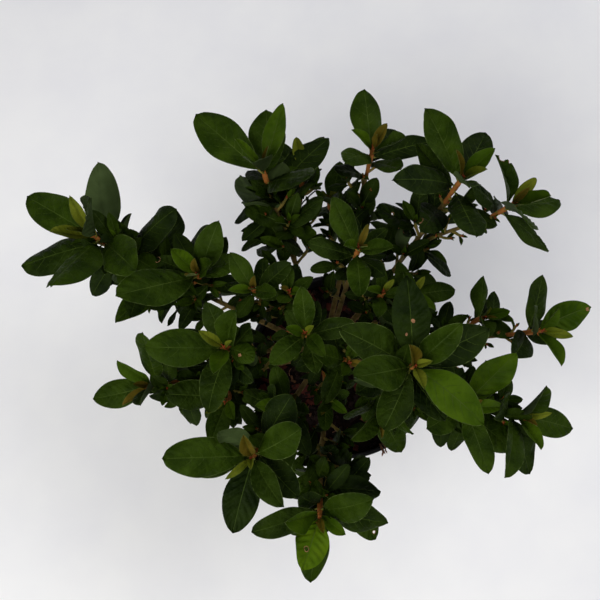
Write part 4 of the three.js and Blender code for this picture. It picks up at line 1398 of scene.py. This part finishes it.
def build_leaves(masses, random):
    """The leaves by colour, with the pieces that they share: veins and rims, whose pale shades hold a
    painted highlight, scars and stalks.
    """
    leaves = [leaf for mass in masses for leaf in mass.leaves]
    for leaf in leaves:
        look_of_leaf(leaf, random)
    under_new, veins_and_painted_sheen, rims_and_painted_sheen, scars, stalks, new_stalks = (Batch() for _ in range(6))
    old_side = made_material("leaf_underside")
    new_side = made_material("young_underside")
    for kind in LEAF_COLOURS:
        batch = Batch()
        under = under_new if kind in NEW_LEAVES else Batch()
        of_kind = [leaf for leaf in leaves if kind_of(leaf) == kind]
        whole = [leaf for leaf in of_kind if leaf.label not in MARKS]
        large = [leaf for leaf in whole if leaf.kind != "fine"]
        small = [leaf for leaf in whole if leaf.kind == "fine"]
        for leaf in of_kind:
            if leaf.label in MARKS:
                add_veins(veins_and_painted_sheen, [leaf], add_marked(batch, under, scars, leaf), False)
        if large:
            grid = add_blades(batch, under, large, LARGE_GRID)
            add_veins(veins_and_painted_sheen, large, grid, kind not in ("young", "bronze"))
            add_rims(rims_and_painted_sheen, large, grid)
        if small:
            add_veins(veins_and_painted_sheen, small, add_blades(batch, under, small, SMALL_GRID), False)
        # The mature leaves stand for the solids of all the foliage.
        nodes = ["foliage_" + mass.name for mass in masses] if kind == "mature" else []
        batch.piece("leaves_" + kind, made_material(kind + "_leaf"), "foliage", *nodes)
        if under is not under_new:
            under.piece("undersides_" + kind, old_side, "foliage")
        add_stalks(new_stalks if kind in NEW_LEAVES else stalks, of_kind)
    under_new.piece("undersides_young", new_side, "foliage")
    # The veins carry a painted highlight in their pale shade.
    veins_and_painted_sheen.piece("leaf_veins", made_material("leaf_vein"), "foliage")
    # The rims carry a painted sheen in their pale shade.
    rims_and_painted_sheen.piece("leaf_rims", made_material("leaf_rim"), "foliage")
    scars.piece("leaf_scars", made_material("leaf_scar"), "foliage")
    stalks.piece("leaf_stalks", made_material("leaf_stalk"), "foliage")
    new_stalks.piece("young_leaf_stalks", made_material("young_stalk"), "foliage")


def build_wood(masses, random):
    """The stem, the boughs and the twigs, with their buds and bristles."""
    bark, young, green, buds, bristles = (Batch() for _ in range(5))
    add_stem(bark)
    for mass in masses:
        shoots = mass.shoots + mass.fine
        for shoot in shoots:
            length = shoot.path.length
            if shoot.kind in LONG_SHOOTS:
                split = max(length - YOUNG_WOOD, OLD_WOOD_SHARE * length)
                add_wood(bark, shoot, 0, split, BARK_SIDES, joins_stem=shoot.kind == "main")
                add_wood(young, shoot, split, length, BARK_SIDES)
            else:
                add_wood(green, shoot, 0, length, TWIG_SIDES)
        add_buds(buds, shoots, random)
        add_bristles(bristles, [shoot for shoot in shoots if shoot.kind in LONG_SHOOTS], random)
    wood_nodes = ["stem"] + ["bough_" + mass.name for mass in masses]
    bark.piece("stem_and_boughs", made_material("bark"), "bark", *wood_nodes)
    young.piece("young_wood", made_material("young_bark"), "foliage")
    green.piece("fine_twigs", made_material("green_twig"), "foliage")
    buds.piece("buds", made_material("bud_scale"), "foliage")
    bristles.piece("bristles", made_material("bristle"), "foliage")


def build_pot(random):
    """The pot and its compost, with the bark chips and the roots that lie on it."""
    pot_piece(made_material("black_pot"))
    compost_piece(made_material("compost"))
    for name, chips in CHIPS.items():
        batch = Batch()
        add_chips(batch, random, *chips)
        batch.piece(name, made_material(name), "compost", smooth=False)
    fibres = Batch()
    add_fibres(fibres, random)
    add_wisp(fibres, random)
    fibres.piece("root_fibres", made_material("root_fibre"), "compost")


# The studio: a white floor, soft light and the camera over the plant. The camera stands where the
# photo looks down at this angle, this far from the rim, with the rim's centre at this pixel.

LOOK_DOWN = 76
RIM_DISTANCE = 0.6
RIM_PIXEL = (341, 364)
PHOTO_WIDTH = 600
LENS = 48
SENSOR = 36
FLOOR_SIZE = 6
LIGHT_AIM = (0, 0, 0.15)

# Each light's azimuth, reach, height, size, power and colour.
LIGHTS = {
    "window_light": (230, 0.9, 1.1, 0.9, 14, (1, 0.985, 0.95)),
    "room_light": (30, 1.2, 1.5, 1.3, 16, (0.99, 0.985, 1)),
}
SKY = ((0.0, 0.5), (0.4, 0.35), (0.65, 0.2), (1.0, 0.15))
SKY_TINT = (0.96, 0.98, 1.07)


def studio_world():
    """A room that is bright at the sides and dim overhead."""
    world = bpy.data.worlds.new("studio")
    world.use_nodes = True
    nodes, links = world.node_tree.nodes, world.node_tree.links
    coordinates = nodes.new("ShaderNodeTexCoord")
    parts = nodes.new("ShaderNodeSeparateXYZ")
    shades = nodes.new("ShaderNodeValToRGB")
    ramp = shades.color_ramp
    for index, (height, grey) in enumerate(SKY):
        stop = ramp.elements[index] if index < 2 else ramp.elements.new(height)
        stop.position = height
        stop.color = (*(grey * share for share in SKY_TINT), 1)
    links.new(coordinates.outputs["Generated"], parts.inputs["Vector"])
    links.new(parts.outputs["Z"], shades.inputs["Fac"])
    links.new(shades.outputs["Color"], nodes["Background"].inputs["Color"])
    return world


def add_lamp(name, azimuth, reach, height, size, power, colour):
    light = bpy.data.lights.new(name, "AREA")
    light.size = size
    light.energy = power
    light.color = colour
    lamp = bpy.data.objects.new(name, light)
    lamp.location = heading(azimuth) * reach + UP * height
    lamp.rotation_euler = (Vector(LIGHT_AIM) - lamp.location).to_track_quat("-Z", "Y").to_euler()
    bpy.context.scene.collection.objects.link(lamp)


def add_camera():
    """The camera, set back from the rim's centre along the line of sight through its pixel."""
    pitch = math.radians(90 - LOOK_DOWN)
    forward = Vector((0, math.sin(pitch), -math.cos(pitch)))
    upward = Vector((0, math.cos(pitch), math.sin(pitch)))
    right_share, down_share = (
        (pixel / PHOTO_WIDTH - 0.5) * SENSOR / LENS for pixel in RIM_PIXEL)
    sight = Vector((right_share, 0, 0)) - upward * down_share + forward
    camera = bpy.data.objects.new("camera", bpy.data.cameras.new("camera"))
    camera.data.lens = LENS
    camera.data.sensor_width = SENSOR
    camera.location = Vector((0, 0, POT_HEIGHT * MM)) - sight * RIM_DISTANCE
    camera.rotation_euler = (pitch, 0, 0)
    bpy.context.scene.collection.objects.link(camera)
    bpy.context.scene.camera = camera


def build_studio():
    bpy.ops.mesh.primitive_plane_add(size=FLOOR_SIZE)
    floor = bpy.context.object
    floor.name = "studio_floor"
    floor.data.materials.append(made_material("white_floor"))
    bpy.context.scene.view_settings.view_transform = "Standard"
    bpy.context.scene.world = studio_world()
    for name, values in LIGHTS.items():
        add_lamp(name, *values)
    add_camera()


build_studio()
plant = grow_plant()
look_random = np.random.default_rng(LOOK_SEED)
build_leaves(plant, look_random)
build_wood(plant, look_random)
build_pot(look_random)
